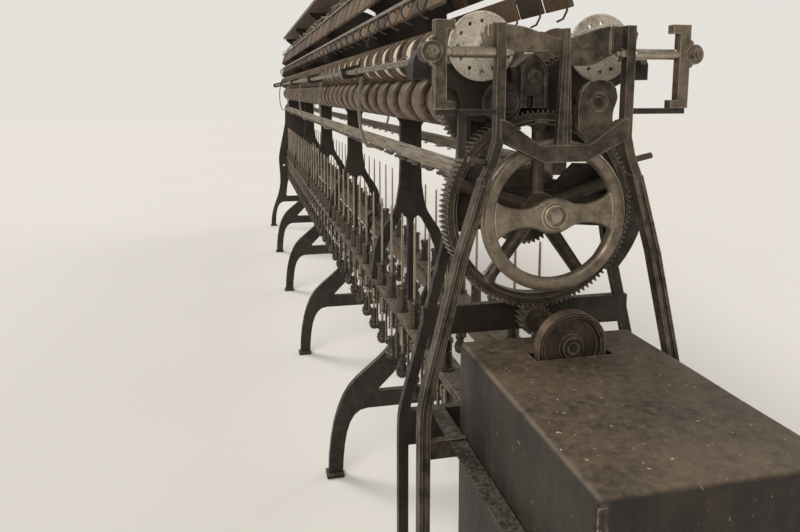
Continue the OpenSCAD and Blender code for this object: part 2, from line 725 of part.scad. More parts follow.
module handwheel() {
    color("gray") at_xz(main_pos) difference() {
        union() {
            translate([0, y_wheel + wheel_t / 2, 0]) rotate([90, 0, 0]) rotate_extrude($fn = 96) polygon([
                [wheel_ri, -7], [wheel_ri + 5, -wheel_t / 2], [wheel_d / 2 - 5, -wheel_t / 2], [wheel_d / 2, -6],
                [wheel_d / 2, 6], [wheel_d / 2 - 5, wheel_t / 2], [wheel_ri + 5, wheel_t / 2], [wheel_ri, 7]]);
            for (a = [3.5, 183.5]) rotate([0, -a, 0]) plate(y_wheel + wheel_t / 2, 12)
                polygon(concat([[8, 15], [26, 15]], bez([26, 15], [60, 15], [90, 18], [wheel_ri + 4, 33], 6),
                    bez([wheel_ri + 4, -33], [90, -18], [60, -15], [26, -15], 6), [[8, -15]]));
            bar_y(0, 0, 22, y_wheel, y_wheel + wheel_t + 8);
        }
        bar_y(0, 0, main_r, y_wheel + 4, y_wheel + 40);
        bar_y(0, 0, nose_r, y_wheel - 1, y_wheel + 10);
        bar_y(0, 0, 17, y_wheel - 1, y_wheel + 3);
    }
}
module change_gear() {
    color("dimgray") at_xz(main_pos) gear(change_n, train_w, 0, main_r, y_train);
}
idler_pin_r = 8;
module idler_gear() {
    color("dimgray") at_xz(idler_pos) gear(idler_n, train_w, turn_idler, idler_pin_r + run, y_train);
}
// Fixed stud of the idler, screwed into the rear frame's web
module idler_stud() {
    color("silver") {
        bar_y(idler_pos[0], idler_pos[1], idler_pin_r, y_rear + rear_t / 2, y_train + train_w + 6);
        bar_y(idler_pos[0], idler_pos[1], 16, y_train + train_w + gap, y_train + train_w + 6);
        plate(y_rear + rear_t / 2 + 4, 8) polygon([[-idler_pin_r * 2 + idler_pos[0], idler_pos[1] + 14],
            [idler_pos[0] - 30, 1128], [idler_pos[0] + 34, 1100], [idler_pos[0] + 22, idler_pos[1] + 14]]);
    }
}
out_x = pitch_r(change_n) + 26;
module outrigger_bearing() {
    color("dimgray") difference() {
        union() {
            plate(y_train + train_w + 24, 20) translate([-out_x - 14, main_z - 18]) square([2 * out_x + 28, 36]);
            bar_y(0, main_z, 28, y_train + train_w + 14, y_train + train_w + 44);
            sides() bar_y(out_x, main_z, 9, y_rear + rear_t / 2, y_train + train_w + 34);
        }
        bar_y(0, main_z, main_r + run, y_train, y_train + train_w + 60);
    }
}

// Drive: pinion shaft, belt and motor
module drive_pinion() {
    color("dimgray") translate([0, 0, pinion_z]) gear(pinion_n, gear_w, turn_pinion, countershaft_r, y_gear);
}
module countershaft() {
    color("silver") {
        bar_y(0, pinion_z, countershaft_r, y_drive - drive_w / 2, y_rear + rear_t / 2 + 20);
        bar_y(0, pinion_z, 16, y_rear + rear_t / 2 + gap, y_rear + rear_t / 2 + 14);
        bar_y(0, pinion_z, counter_pulley_r, y_drive - drive_w / 2, y_drive + drive_w / 2);
    }
}
module drive_loop_2d(grow) {
    translate([0, motor_z]) circle(r = motor_pulley_r + grow);
    translate([0, pinion_z]) circle(r = counter_pulley_r + grow);
    polygon(both([for (p = [[motor_pulley_r, motor_z], [counter_pulley_r, pinion_z]])
        [p[0] + grow, p[1]]]));
}
module drive_belt() {
    color("saddlebrown") plate(y_drive, drive_w - 4) difference() {
        drive_loop_2d(gap + belt_t);
        drive_loop_2d(gap);
    }
}
module motor_rotor() {
    color("silver") {
        bar_y(0, motor_z, 12, y_guard + 60, y_drive + drive_w / 2);
        bar_y(0, motor_z, motor_pulley_r, y_drive - drive_w / 2, y_drive + drive_w / 2);
    }
}
module drive_motor() {
    color("darkslategray") difference() {
        union() {
            bar_y(0, motor_z, motor_r, y_guard + 70, y_motor);
            translate([-80, y_guard + 90, 0]) cube([160, y_motor - y_guard - 110, motor_z]);
            translate([-110, y_guard + 80, 0]) cube([220, y_motor - y_guard - 90, 14]);
        }
        bar_y(0, motor_z, 12 + run, y_guard, y_drive);
    }
}
module guard_box() {
    color("rosybrown") difference() {
        translate([0, y_guard_back, 0]) rotate([90, 0, 0]) linear_extrude(guard_l) polygon(both(concat(
            [[0, 0], [guard_w / 2, 0]], bez([guard_w / 2, guard_h - 9], [guard_w / 2, guard_h - 3],
            [guard_w / 2 - 3, guard_h], [guard_w / 2 - 9, guard_h], 4), [[0, guard_h]])));
        translate([-guard_w / 2 + sheet, y_guard + sheet, -1])
            cube([guard_w - 2 * sheet, guard_l - 2 * sheet, guard_h + 1 - sheet]);
        translate([-70, y_drive - drive_w / 2 - 6, guard_h - 2 * sheet]) cube([140, drive_w + 12, 3 * sheet]);
    }
}
module bearers() {
    color("dimgray") sides() for (span = [[y_guard + 60, y_head - front_t / 4],
        [y_head + front_t / 4, y_rear - rear_t / 2]]) {
        translate([guard_w / 2, span[0], bearer_z]) cube([4, span[1] - span[0], 30]);
        translate([guard_w / 2, span[0], bearer_z + 26]) cube([30, span[1] - span[0], 4]);
    }
}

// Head fittings
module cross_head() {
    color("gray") difference() {
        plate(y_head + 0.4 * front_t + 6, 12) polygon([[-60, 1366], [-110, 1364], [-138, 1368], [-146, 1400], [-138, 1412],
            [-92, 1412], [-60, 1406], [0, 1388], [50, 1402], [92, 1412], [134, 1412], [142, 1400], [136, 1372],
            [100, 1366], [60, 1344], [14, 1344], [10, 1366]]);
        sides() bar_y(bobbin_x, bobbin_z, bobbin_shaft_r + run, y_head, y_head + 60);
        sides() translate([bobbin_x - bobbin_shaft_r - run, y_head, bobbin_z]) cube([2 * (bobbin_shaft_r + run), 60, 60]);
    }
}
// House-shaped block with an arched slot, bolted to the rear frame
house_z = main_z + pitch_r(gear_n) + gear_m + 4;
module bearing_house() {
    color("gray") difference() {
        plate(y_rear - rear_t / 2 - 30, 60) polygon([[-52, house_z], [-2, house_z], [-2, 1345], [-27, 1368], [-52, 1345]]);
        bar_y(-34, house_z + 16, 7, y_rear - 100, y_rear - rear_t / 2 - 44);
        translate([-41, y_rear - 100, house_z - 5]) cube([14, 100 - rear_t / 2 - 44, 21]);
    }
    color("silver") bar_y(-27, 1328, 8, y_rear - rear_t / 2 - 66, y_rear - rear_t / 2 - 60);
}
// C-shaped bracket with a bolted boss, at each side of the head
boss_x = 238;
boss_z = 1364;
link_z = 1261;
module end_brackets() {
    color("gray") sides() {
        plate(y_head, 18) polygon([[bracket_x - 14, link_z + 10], [bracket_x + 20, link_z + 10], [bracket_x + 20, 1340],
            [boss_x, 1344], [boss_x, 1386], [bracket_x + 20, 1390], [bracket_x + 20, 1415], [bracket_x - 14, 1415],
            [bracket_x - 14, 1400], [bracket_x, 1400], [bracket_x, link_z + 24], [bracket_x - 14, link_z + 24]]);
        bar_y(boss_x, boss_z, 17.5, y_head - 14, y_head + 18);
        translate([boss_x, y_head - 22, boss_z]) rotate([-90, 0, 0]) cylinder(r = 10, h = 8, $fn = 6);
        bar_y(boss_x, boss_z, 5, y_head - 28, y_head - 22);
    }
}
bracket_x = 212;
module spacer_bolts() {
    color("silver") sides() {
        translate([upper_x + upper_w_limb / 2, y_head, boss_z]) rotate([0, 90, 0])
            cylinder(r = 9, h = bracket_x - upper_x - upper_w_limb / 2);
        translate([upper_x - upper_w_limb / 2 - 8, y_head, boss_z]) rotate([0, 90, 0]) cylinder(r = 10.5, h = 8, $fn = 6);
        translate([upper_x - upper_w_limb / 2 - 16, y_head, boss_z]) rotate([0, 90, 0]) cylinder(r = 5, h = 8);
    }
}
module lower_links() {
    color("dimgray") {
        sides() translate([upper_x + upper_w_limb / 2, y_head - 4, link_z])
            cube([bracket_x + 18 - upper_x - upper_w_limb / 2, 8, 10]);
        translate([-192, y_head - 10, link_z - 69]) cube([14, 6, 79]);
    }
}
module gear_guard() {
    color("dimgray") plate(y_rear - rear_t / 2 - 1.5, 3) difference() {
        translate([0, main_z]) polygon(concat(
            [for (a = [-34:6:44]) polar(246 - abs(a) / 2, a)],
            [for (a = [44:-6:-34]) polar(158 + 20 * abs(a - 5) / 40, a)]
        ));
        translate([0, main_z]) circle(r = 150);
    }
}

head_frame_front();
head_frame_rear();
leg_frame_1();
leg_frame_2();
leg_frame_3();
leg_frame_4();
end_frame();
spindle_rail_left();
spindle_rail_right();
spindle_1();
spindle_2();
spindle_3();
spindle_belt();
belt_pulley_head();
belt_pulley_end();
pulley_brackets();
roll_brackets();
rolls_left();
rolls_right();
roll_shaft_left();
roll_shaft_right();
plate_cam();
roll_gear_left();
roll_gear_right();
bobbins_left();
bobbins_right();
bobbin_shaft_left();
bobbin_shaft_right();
end_disc_left();
end_disc_right();
guide_rail_left();
guide_rail_right();
thread_eyes();
guide_straps();
traverse_rod_left();
traverse_rod_right();
upper_posts();
creel_boards();
hook_rods();
shelf_board();
main_shaft();
large_gear();
handwheel();
change_gear();
idler_gear();
idler_stud();
outrigger_bearing();
drive_pinion();
countershaft();
drive_belt();
motor_rotor();
drive_motor();
guard_box();
bearers();
cross_head();
bearing_house();
end_brackets();
spacer_bolts();
lower_links();
gear_guard();
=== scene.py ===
import math
import random

import bpy
from mathutils import Matrix, Vector, noise


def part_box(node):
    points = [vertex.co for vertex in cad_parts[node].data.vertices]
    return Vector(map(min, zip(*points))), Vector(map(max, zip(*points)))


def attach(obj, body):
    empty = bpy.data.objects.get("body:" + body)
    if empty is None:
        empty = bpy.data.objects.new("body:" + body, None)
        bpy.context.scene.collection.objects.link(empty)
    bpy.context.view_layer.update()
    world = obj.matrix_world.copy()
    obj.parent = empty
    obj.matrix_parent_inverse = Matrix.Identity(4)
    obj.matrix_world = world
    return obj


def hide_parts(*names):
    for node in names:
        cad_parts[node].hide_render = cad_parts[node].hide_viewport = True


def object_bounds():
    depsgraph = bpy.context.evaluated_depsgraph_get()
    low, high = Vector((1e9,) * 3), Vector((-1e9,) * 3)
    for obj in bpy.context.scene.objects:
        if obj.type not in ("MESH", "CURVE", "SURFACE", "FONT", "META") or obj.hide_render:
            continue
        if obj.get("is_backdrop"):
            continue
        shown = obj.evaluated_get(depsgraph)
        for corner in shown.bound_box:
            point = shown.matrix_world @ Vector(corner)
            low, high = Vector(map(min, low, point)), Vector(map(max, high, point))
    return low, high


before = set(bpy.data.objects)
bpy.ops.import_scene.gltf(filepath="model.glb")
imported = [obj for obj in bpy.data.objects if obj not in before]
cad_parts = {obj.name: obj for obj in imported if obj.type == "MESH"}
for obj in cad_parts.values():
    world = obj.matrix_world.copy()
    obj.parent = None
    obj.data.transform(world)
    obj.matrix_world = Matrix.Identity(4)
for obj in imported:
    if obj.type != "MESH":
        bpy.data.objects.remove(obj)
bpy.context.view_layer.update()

bpy.ops.object.select_all(action="DESELECT")

# ---------------------------------------------------------------- leg frames
# Flat castings of grey iron that stand on the floor on two swept feet, painted
# black long ago and gone brown with oil and lint. The last one is a closed gable.


class Wire:
    """A shader socket: arithmetic on it adds Math nodes to its material."""

    def __init__(self, tree, socket=None):
        self.tree = tree
        self.socket = socket

    def node(self, kind, inputs=None, out=0, **settings):
        """Adds a node with its settings and inputs, and reads one of its outputs."""
        made = self.tree.nodes.new("ShaderNode" + kind)
        for key, value in settings.items():
            setattr(made, key, value)
        for key, value in (inputs or {}).items():
            target = made.inputs[key]
            if isinstance(value, Wire):
                self.tree.links.new(value.socket, target)
            else:
                target.default_value = (*value, 1) if target.type == "RGBA" else value
        return Wire(self.tree, made.outputs[out])

    def _math(self, operation, a, b=0.0, clamp=False):
        return self.node("Math", {0: a, 1: b}, operation=operation, use_clamp=clamp)

    def __add__(self, other):
        return self._math("ADD", self, other)

    __radd__ = __add__

    def __sub__(self, other):
        return self._math("SUBTRACT", self, other)

    def __rsub__(self, other):
        return self._math("SUBTRACT", other, self)

    def __mul__(self, other):
        return self._math("MULTIPLY", self, other)

    __rmul__ = __mul__

    def __truediv__(self, other):
        return self._math("DIVIDE", self, other)

    def __mod__(self, other):
        return self._math("FLOORED_MODULO", self, other)

    def __abs__(self):
        return self._math("ABSOLUTE", self)

    def clamp(self):
        return self._math("ADD", self, 0.0, clamp=True)

    def step(self, low, high):
        ends = {"Value": self, "From Min": low, "From Max": high}
        return self.node("MapRange", ends, interpolation_type="SMOOTHSTEP")

    def mix(self, dark, light):
        return self.node("Mix", {0: self, 6: dark, 7: light}, out=2, data_type="RGBA")

    def noise(self, scale, detail=4.0, rough=0.55, stretch=(1, 1, 1)):
        place = self.node("Mapping", {"Vector": self, "Scale": stretch})
        return self.node("TexNoise", {"Vector": place, "Scale": scale, "Detail": detail, "Roughness": rough})

    def up(self):
        """1 where the surface faces up, 0 where it stands upright."""
        return self.node("SeparateXYZ", {0: self.node("TexCoord", out=1)}, out=2)

    def edge(self, radius):
        """Grows where the surface turns away within this radius."""
        inputs = {0: self.node("Bevel", {"Radius": radius}, samples=4), 1: self.node("NewGeometry", out=1)}
        return 1 - self.node("VectorMath", inputs, out=1, operation="DOT_PRODUCT")


def finish(colour, roughness, metallic=0.0, height=None, depth=0.001, coat=0.0):
    """Ends a material: what varies goes to the shader's own sockets, the relief to a bump."""
    tree = colour.tree
    shader = next(n for n in tree.nodes if n.type == "BSDF_PRINCIPLED")
    for key, value in (("Base Color", colour), ("Roughness", roughness), ("Metallic", metallic)):
        if isinstance(value, Wire):
            tree.links.new(value.socket, shader.inputs[key])
        else:
            shader.inputs[key].default_value = value
    shader.inputs["Coat Weight"].default_value = coat
    if height is not None:
        bump = colour.node("Bump", {"Height": height, "Distance": depth, "Strength": 1.0})
        tree.links.new(bump.socket, shader.inputs["Normal"])


def blank(name):
    """An empty material, as a wire that reads the place on the piece."""
    material = bpy.data.materials.new(name)
    material.use_nodes = True
    return material, Wire(material.node_tree).node("TexCoord", out=3)


def cast_iron(name, dark, light, sheen=0.5, lint=0.25, metal=0.35, edge_wear_and_highlight_gain=0.0):
    """Old iron casting: sand-rough skin, oil stains, lint on what faces up, and edges lightened partly as
    rubbed wear and partly as painted highlight.
    """
    material, at = blank(name)
    broad = at.noise(5.0, 5.0, 0.62)
    stain = at.noise(38.0, 6.0, 0.7)
    grit = at.noise(620.0, 2.0, 0.6)
    patches = (broad * 0.5 + stain * 0.5).step(0.36, 0.66)
    # Edges lightened where the surface turns: partly rubbed wear, partly painted highlight.
    edge_wear_and_highlight = ((at.edge(0.0025) * 9.0).clamp() * stain.step(0.28, 0.58)).clamp()
    fluff = (at.up().step(0.55, 0.98) * at.noise(160.0, 4.0, 0.7).step(0.35, 0.7) * lint).clamp()
    # Pale specks: partly flecks and chips in the skin, partly painted glints.
    speck = (grit.step(0.64, 0.72) * 0.35).clamp()
    tone = patches.mix(dark, light)
    tone = (edge_wear_and_highlight * (0.45 + edge_wear_and_highlight_gain)).clamp().mix(tone, [min(1, c * 2.6 + 0.09) for c in light])
    tone = speck.mix(tone, [c * 1.9 + 0.03 for c in light])
    tone = fluff.mix(tone, (0.42, 0.36, 0.28))
    rough = (sheen + 0.28 * (1 - patches) - 0.18 * edge_wear_and_highlight + 0.3 * fluff).clamp()
    relief = grit * 0.35 + stain * 0.5 + broad * 0.6
    finish(tone, rough, metal, relief, 0.0008)
    return material


def dress(material, slot, *nodes):
    """Puts a finish on CAD nodes in place of the plain colour that they came with."""
    for name in nodes:
        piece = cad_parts[name]
        piece.data.materials.clear()
        piece.data.materials.append(material)


LEG_IRON = cast_iron("leg_iron", (0.010, 0.0076, 0.0055), (0.036, 0.027, 0.019), sheen=0.40, lint=0.40)
dress(LEG_IRON, "leg_iron", "leg_frame_1", "leg_frame_2", "leg_frame_3", "leg_frame_4", "end_frame")

# --------------------------------------------------------------- head frames
# The pair of A-shaped castings that carry the gearing, bare and greasy, with
# the links, brackets, bearings, bearers and gear guard screwed to them.

# The rear frame and the parts set with it take a darker copy of the front frame's iron: painted shade.
SHADED_REAR_IRON = cast_iron("rear_iron_painted_shade", (0.009, 0.0068, 0.0048), (0.045, 0.034, 0.024),
                      sheen=0.36, lint=0.3, edge_wear_and_highlight_gain=0.1)
HEAD_IRON = cast_iron("head_iron", (0.014, 0.0105, 0.0074), (0.112, 0.085, 0.060),
                      sheen=0.36, lint=0.3, metal=0.45, edge_wear_and_highlight_gain=0.4)
BRACKET_IRON = cast_iron("bracket_iron", (0.026, 0.0198, 0.014), (0.21, 0.165, 0.118),
                         sheen=0.34, lint=0.25, metal=0.5, edge_wear_and_highlight_gain=0.4)
dress(SHADED_REAR_IRON, "head_iron", "head_frame_rear", "lower_links", "gear_guard", "bearers")
dress(HEAD_IRON, "head_iron", "head_frame_front", "bearing_house")
dress(BRACKET_IRON, "head_iron", "end_brackets", "outrigger_bearing")


def bright_steel(name, dark, light, rough=0.28, grime=0.5, stretch=(1, 1, 0.04)):
    """Turned or drawn steel: fine marks, drawn out as stretch says, and brown grime in patches."""
    material, at = blank(name)
    drawn = at.noise(900.0, 3.0, 0.6, stretch)
    cloud = at.noise(24.0, 5.0, 0.65)
    spots = at.noise(210.0, 4.0, 0.7)
    dirt = ((cloud * 0.6 + spots * 0.4).step(0.44, 0.62) * grime).clamp()
    tone = drawn.step(0.3, 0.7).mix(dark, light)
    tone = dirt.mix(tone, (0.075, 0.058, 0.042))
    roughness = (rough + 0.35 * dirt + 0.12 * drawn).clamp()
    finish(tone, roughness, (0.95 - 0.5 * dirt).clamp(), drawn * 0.4 + spots * dirt, 0.0003)
    return material


DARK_STEEL = bright_steel("dark_steel", (0.13, 0.105, 0.078), (0.27, 0.225, 0.175), rough=0.30, grime=0.8)
dress(DARK_STEEL, "dark_steel", "idler_stud")

# ------------------------------------------- spindle rails, bolsters, spindles
# A planed iron rail on each side carries a row of bolsters. Each holds a steel
# spindle whose wharve runs on the belt, above a ribbed foot-step knob.

LEFT, RIGHT = -1, 1
SIDES = ((LEFT, "left"), (RIGHT, "right"))
low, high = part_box("spindle_1")
SPINDLE_X = -(low.x + high.x) / 2
FIRST_Y = (low.y + high.y) / 2
BLADE_TOP = high.z
low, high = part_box("spindle_2")
PITCH = (low.y + high.y) / 2 - FIRST_Y
BOBBIN_SHARE = 0.3  # a bobbin reaches this share of the pitch past its station
LAST = round((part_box("bobbins_left")[1].y - FIRST_Y) / PITCH - BOBBIN_SHARE)
STATIONS = [FIRST_Y + PITCH * i for i in range(1 + LAST)]
LOOSE = ("spindle_a", "spindle_b", "spindle_c")


def only(*pieces):
    """Selects these pieces alone, the first one active."""
    bpy.ops.object.select_all(action="DESELECT")
    for piece in pieces:
        piece.select_set(True)
    bpy.context.view_layer.objects.active = pieces[0]


def settle(piece, name, material, smooth=35):
    """Puts a piece's place into its mesh, turns its faces outwards and gives it its finish."""
    only(piece)
    bpy.ops.object.transform_apply(location=True, rotation=True, scale=True)
    bpy.ops.object.mode_set(mode="EDIT")
    bpy.ops.mesh.select_all(action="SELECT")
    bpy.ops.mesh.remove_doubles(threshold=1e-5)
    bpy.ops.mesh.normals_make_consistent(inside=False)
    bpy.ops.object.mode_set(mode="OBJECT")
    bpy.ops.object.shade_smooth_by_angle(angle=math.radians(smooth))
    piece.name = name
    piece.data.materials.clear()
    piece.data.materials.append(material)
    return piece


def turned(profile, at, steps=24, axis=(0, 0, 1)):
    """A piece turned on a lathe. The profile holds (radius, height) from the foot to the head."""
    bpy.ops.mesh.primitive_plane_add(size=1, location=(0, 0, 0))
    bpy.ops.object.mode_set(mode="EDIT")
    bpy.ops.mesh.select_all(action="SELECT")
    bpy.ops.mesh.merge(type="CENTER")
    radius, height = profile[0]
    bpy.ops.transform.translate(value=(radius, 0, height))
    for r, h in profile[1:]:
        bpy.ops.mesh.extrude_region_move(TRANSFORM_OT_translate={"value": (r - radius, 0, h - height)})
        radius, height = r, h
    bpy.ops.mesh.select_all(action="SELECT")
    bpy.ops.mesh.spin(steps=steps, angle=math.tau, center=(0, 0, 0), axis=(0, 0, 1))
    bpy.ops.mesh.select_all(action="SELECT")
    bpy.ops.mesh.remove_doubles(threshold=1e-5)
    bpy.ops.object.mode_set(mode="OBJECT")
    piece = bpy.context.object
    piece.rotation_mode = "QUATERNION"
    piece.rotation_quaternion = Vector((0, 0, 1)).rotation_difference(Vector(axis))
    piece.location = at
    return piece


def block(low, high, round_by=0.0, segments=2):
    """A planed block between two corners, its edges rounded off."""
    low, high = Vector(low), Vector(high)
    bpy.ops.mesh.primitive_cube_add(size=1, location=(low + high) / 2, scale=high - low)
    if round_by:
        bpy.ops.object.transform_apply(location=False, rotation=False, scale=True)
        bpy.ops.object.mode_set(mode="EDIT")
        bpy.ops.mesh.select_all(action="SELECT")
        bpy.ops.mesh.bevel(offset=round_by, segments=segments, affect="EDGES", clamp_overlap=True)
        bpy.ops.object.mode_set(mode="OBJECT")
    return bpy.context.object


def joined(*pieces):
    """Makes one piece of several."""
    only(*pieces)
    if len(pieces) > 1:
        bpy.ops.object.join()
    return bpy.context.object


def copies(piece, places, mirror=False):
    """Copies a piece to each place given, with its own mesh, and joins them all."""
    only(piece)
    bpy.ops.object.transform_apply(location=True, rotation=True, scale=True)
    made = []
    for place in places:
        twin = piece.copy()
        twin.data = piece.data.copy()
        bpy.context.scene.collection.objects.link(twin)
        if mirror:
            twin.data.transform(Matrix.Diagonal((-1, 1, 1, 1)))
            twin.data.flip_normals()
        twin.data.transform(Matrix.Translation(Vector(place)))
        made.append(twin)
    bpy.data.objects.remove(piece)
    return joined(*made)


RAIL_LOW, RAIL_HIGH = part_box("spindle_rail_right")
RAIL_BED, RAIL_FACE, RAIL_INNER, RAIL_OUTER = 0.664, 0.684, 0.070, 0.126
BOLSTER_TOP = 0.757
BOLSTER_R, WHARVE_R, BLADE_R = 0.0145, 0.010, 0.0035
KNOB_FOOT = RAIL_LOW.z
BLADE_FOOT = KNOB_FOOT + 0.066
WHARVE_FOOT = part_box("spindle_belt")[0].z - 0.003
FOOT_ARM_IN, FOOT_ARM_OUT, FOOT_ARM_HALF = WHARVE_R + 0.004, WHARVE_R + 0.009, 0.006


def bolster():
    """The cast bolster tube with its flange, oil collar and ring grooves."""
    r, top = BOLSTER_R, BOLSTER_TOP
    return turned([
        (0, RAIL_BED - 0.012), (r - 0.002, RAIL_BED - 0.012), (r - 0.002, RAIL_BED),
        (r + 0.006, RAIL_BED + 0.0201), (r + 0.006, RAIL_FACE + 0.004), (r + 0.0005, RAIL_FACE + 0.006),
        (r, top - 0.030), (r - 0.0015, top - 0.028), (r, top - 0.026), (r, top - 0.012),
        (r + 0.003, top - 0.009), (r + 0.003, top - 0.003), (r + 0.001, top), (r - 0.004, top), (0, top),
    ], (0, 0, 0), steps=20)


def spindle_blade():
    """The steel blade, its wharve and the tapered tip."""
    z, wide = WHARVE_FOOT, WHARVE_R
    return turned([
        (0, BLADE_FOOT), (BLADE_R, BLADE_FOOT), (BLADE_R, z), (wide, z), (wide, z + 0.004),
        (wide - 0.0008, z + 0.007), (wide - 0.0008, z + 0.049), (wide, z + 0.052), (wide, z + 0.056),
        (BLADE_R, z + 0.056), (BLADE_R, BLADE_TOP - 0.080), (BLADE_R * 0.8, BLADE_TOP - 0.004),
        (BLADE_R * 0.5, BLADE_TOP), (0, BLADE_TOP),
    ], (0, 0, 0), steps=12)


def foot_knob():
    """The beehive knob of the foot-step, with three ribs, its neck and its arm."""
    z = KNOB_FOOT
    knob = turned([
        (0, z), (0.009, z), (0.0155, z + 0.006), (0.0165, z + 0.010), (0.0155, z + 0.013),
        (0.0175, z + 0.015), (0.0190, z + 0.019), (0.0175, z + 0.023), (0.0160, z + 0.024),
        (0.0170, z + 0.026), (0.0165, z + 0.030), (0.0140, z + 0.034), (0.0115, z + 0.037),
        (0.0110, z + 0.044), (0.0145, z + 0.047), (0.0145, z + 0.057), (0.0110, z + 0.061),
        (0.0105, z + 0.071), (0, z + 0.071),
    ], (0, 0, 0), steps=18)
    near, far, half = FOOT_ARM_IN, FOOT_ARM_OUT, FOOT_ARM_HALF
    arm = block((near, -half, z + 0.050), (far, half, RAIL_BED), 0.001, segments=1)
    foot = block((0, -half, z + 0.050), (far, half, z + 0.058), 0.001, segments=1)
    lever = turned([(0, 0), (0.003, 0), (0.003, 0.013), (0.0022, 0.016), (0, 0.016)],
                   (far - 0.001, 0, RAIL_BED - 0.030), steps=8, axis=(0.87, 0, 0.5))
    return joined(knob, arm, foot, lever)


KNOB_IRON = cast_iron("knob_iron", (0.014, 0.0105, 0.0075), (0.060, 0.045, 0.032),
                      sheen=0.30, lint=0.3, metal=0.5, edge_wear_and_highlight_gain=0.2)
BOLSTER_IRON = bright_steel("bolster_iron", (0.038, 0.029, 0.021), (0.130, 0.103, 0.075),
                            rough=0.28, grime=0.8)
BLADE_STEEL = bright_steel("blade_steel", (0.24, 0.195, 0.15), (0.47, 0.40, 0.315), rough=0.22, grime=0.5)

for side, label in SIDES:
    x = side * SPINDLE_X
    spots = [(x, y, 0) for y in STATIONS]
    near, far = sorted((side * RAIL_INNER, side * RAIL_OUTER))
    rail = block((near, RAIL_LOW.y, RAIL_BED), (far, RAIL_HIGH.y, RAIL_FACE), 0.002)
    settle(rail, "planed_rail_" + label, HEAD_IRON)
    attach(rail, "frame")
    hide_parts("spindle_rail_" + label)
    tubes = settle(copies(bolster(), spots), "bolsters_" + label, BOLSTER_IRON)
    knobs = settle(copies(foot_knob(), spots, mirror=side == LEFT), "foot_knobs_" + label, KNOB_IRON)
    fixed = STATIONS[len(LOOSE):] if side == LEFT else STATIONS
    blades = settle(copies(spindle_blade(), [(x, y, 0) for y in fixed]), "blades_" + label, BLADE_STEEL)
    for piece in (tubes, knobs, blades):
        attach(piece, "frame")
for i, body in enumerate(LOOSE):
    blade = settle(copies(spindle_blade(), [(-SPINDLE_X, STATIONS[i], 0)]), "blade_%d" % (i + 1), BLADE_STEEL)
    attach(blade, body)
    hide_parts("spindle_%d" % (i + 1))

# -------------------------------------------------------- belts and pulleys
# Endless belts of oiled hide. The long one presses on every wharve and turns
# round an upright pulley at each end; the short one comes up from the motor.


def belt_hide(name):
    """Oiled leather: fine grain, darker glazed streaks where it runs."""
    material, at = blank(name)
    grain = at.noise(420.0, 5.0, 0.7)
    streak = at.noise(9.0, 4.0, 0.6, (1, 0.05, 6))
    tone = (grain * 0.35 + streak * 0.65).step(0.35, 0.66).mix((0.045, 0.030, 0.019), (0.165, 0.112, 0.070))
    finish(tone, (0.42 + 0.3 * grain).clamp(), 0.0, grain, 0.0005)
    return material


HIDE = belt_hide("belt_hide")
dress(HIDE, "belt_hide", "spindle_belt", "drive_belt")
dress(LEG_IRON, "leg_iron", "belt_pulley_head", "belt_pulley_end", "pulley_brackets")

# ------------------------------------------------- rolls and their brackets
# Hardwood take-up rolls, turned and waxed, wedged on a steel shaft that runs
# through an iron bracket at each frame. The silk has polished their rims.

dress(LEG_IRON, "leg_iron", "roll_brackets")
dress(SHADED_REAR_IRON, "worn_steel", "roll_shaft_left", "roll_shaft_right")
LAP_TILT, LAP_RISE = 0.55, 0.006


def turned_wood(name, dark, light, ring, dusty=0.2, rough=0.38, lap=None):
    """Turned hardwood: grain along it, a dark line at ring from its middle, a slanted lap on a roll's rim."""
    material, at = blank(name)
    fibre = at.noise(60.0, 5.0, 0.65, (1, 0.10, 1))
    figure = at.noise(16.0, 3.0, 0.5)
    pores = at.noise(520.0, 2.0, 0.6, (1, 0.12, 1))
    x, y, z = (at.node("SeparateXYZ", {0: at}, out=axis) for axis in range(3))
    across = (((y - FIRST_Y) / PITCH + 0.5) % 1 - 0.5) * PITCH
    groove = 1 - abs(abs(across) - ring).step(0.0004, 0.0011)
    if lap:
        lap_x, lap_z, radius = lap
        arc = at.node("Math", {0: z - lap_z, 1: abs(x) - lap_x}, operation="ARCTAN2") * radius
        groove = (groove + (1 - abs(arc - LAP_RISE - across * LAP_TILT).step(0.0007, 0.0016))).clamp()
    tone = (fibre * 0.6 + figure * 0.4).step(0.34, 0.66).mix(dark, light)
    tone = (pores.step(0.58, 0.7) * 0.5).clamp().mix(tone, [c * 0.45 for c in dark])
    tone = (groove * 0.8).clamp().mix(tone, [c * 0.3 for c in dark])
    fluff = (at.noise(130.0, 5.0, 0.75).step(0.5, 0.75) * dusty).clamp()
    tone = fluff.mix(tone, (0.50, 0.43, 0.34))
    relief = fibre * 0.3 + pores * 0.3 - groove * 2.0
    finish(tone, (rough + 0.2 * figure + 0.3 * fluff).clamp(), 0.0, relief, 0.0005)
    return material


low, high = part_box("rolls_left")
ROLL_R = (high.x - low.x) / 2
ROLL_X = -(high.x + low.x) / 2
ROLL_Z = (high.z + low.z) / 2
ROLL_HALF = STATIONS[0] - low.y
ROLL_SHAFT_R = 0.009
ROLL_WOOD = turned_wood("roll_wood", (0.040, 0.0240, 0.0125), (0.140, 0.089, 0.049), 0.0,
                        dusty=0.12, rough=0.42, lap=(ROLL_X, ROLL_Z, ROLL_R))


def turned_alike(half, steps):
    """A piece turned along Y with both ends alike. Half holds (radius, place) of one end, from the bore."""
    profile = [(a, -h) for a, h in half] + [(a, h) for a, h in reversed(half)]
    return turned(profile + [profile[0]], (0, 0, 0), steps=steps, axis=(0, 1, 0))


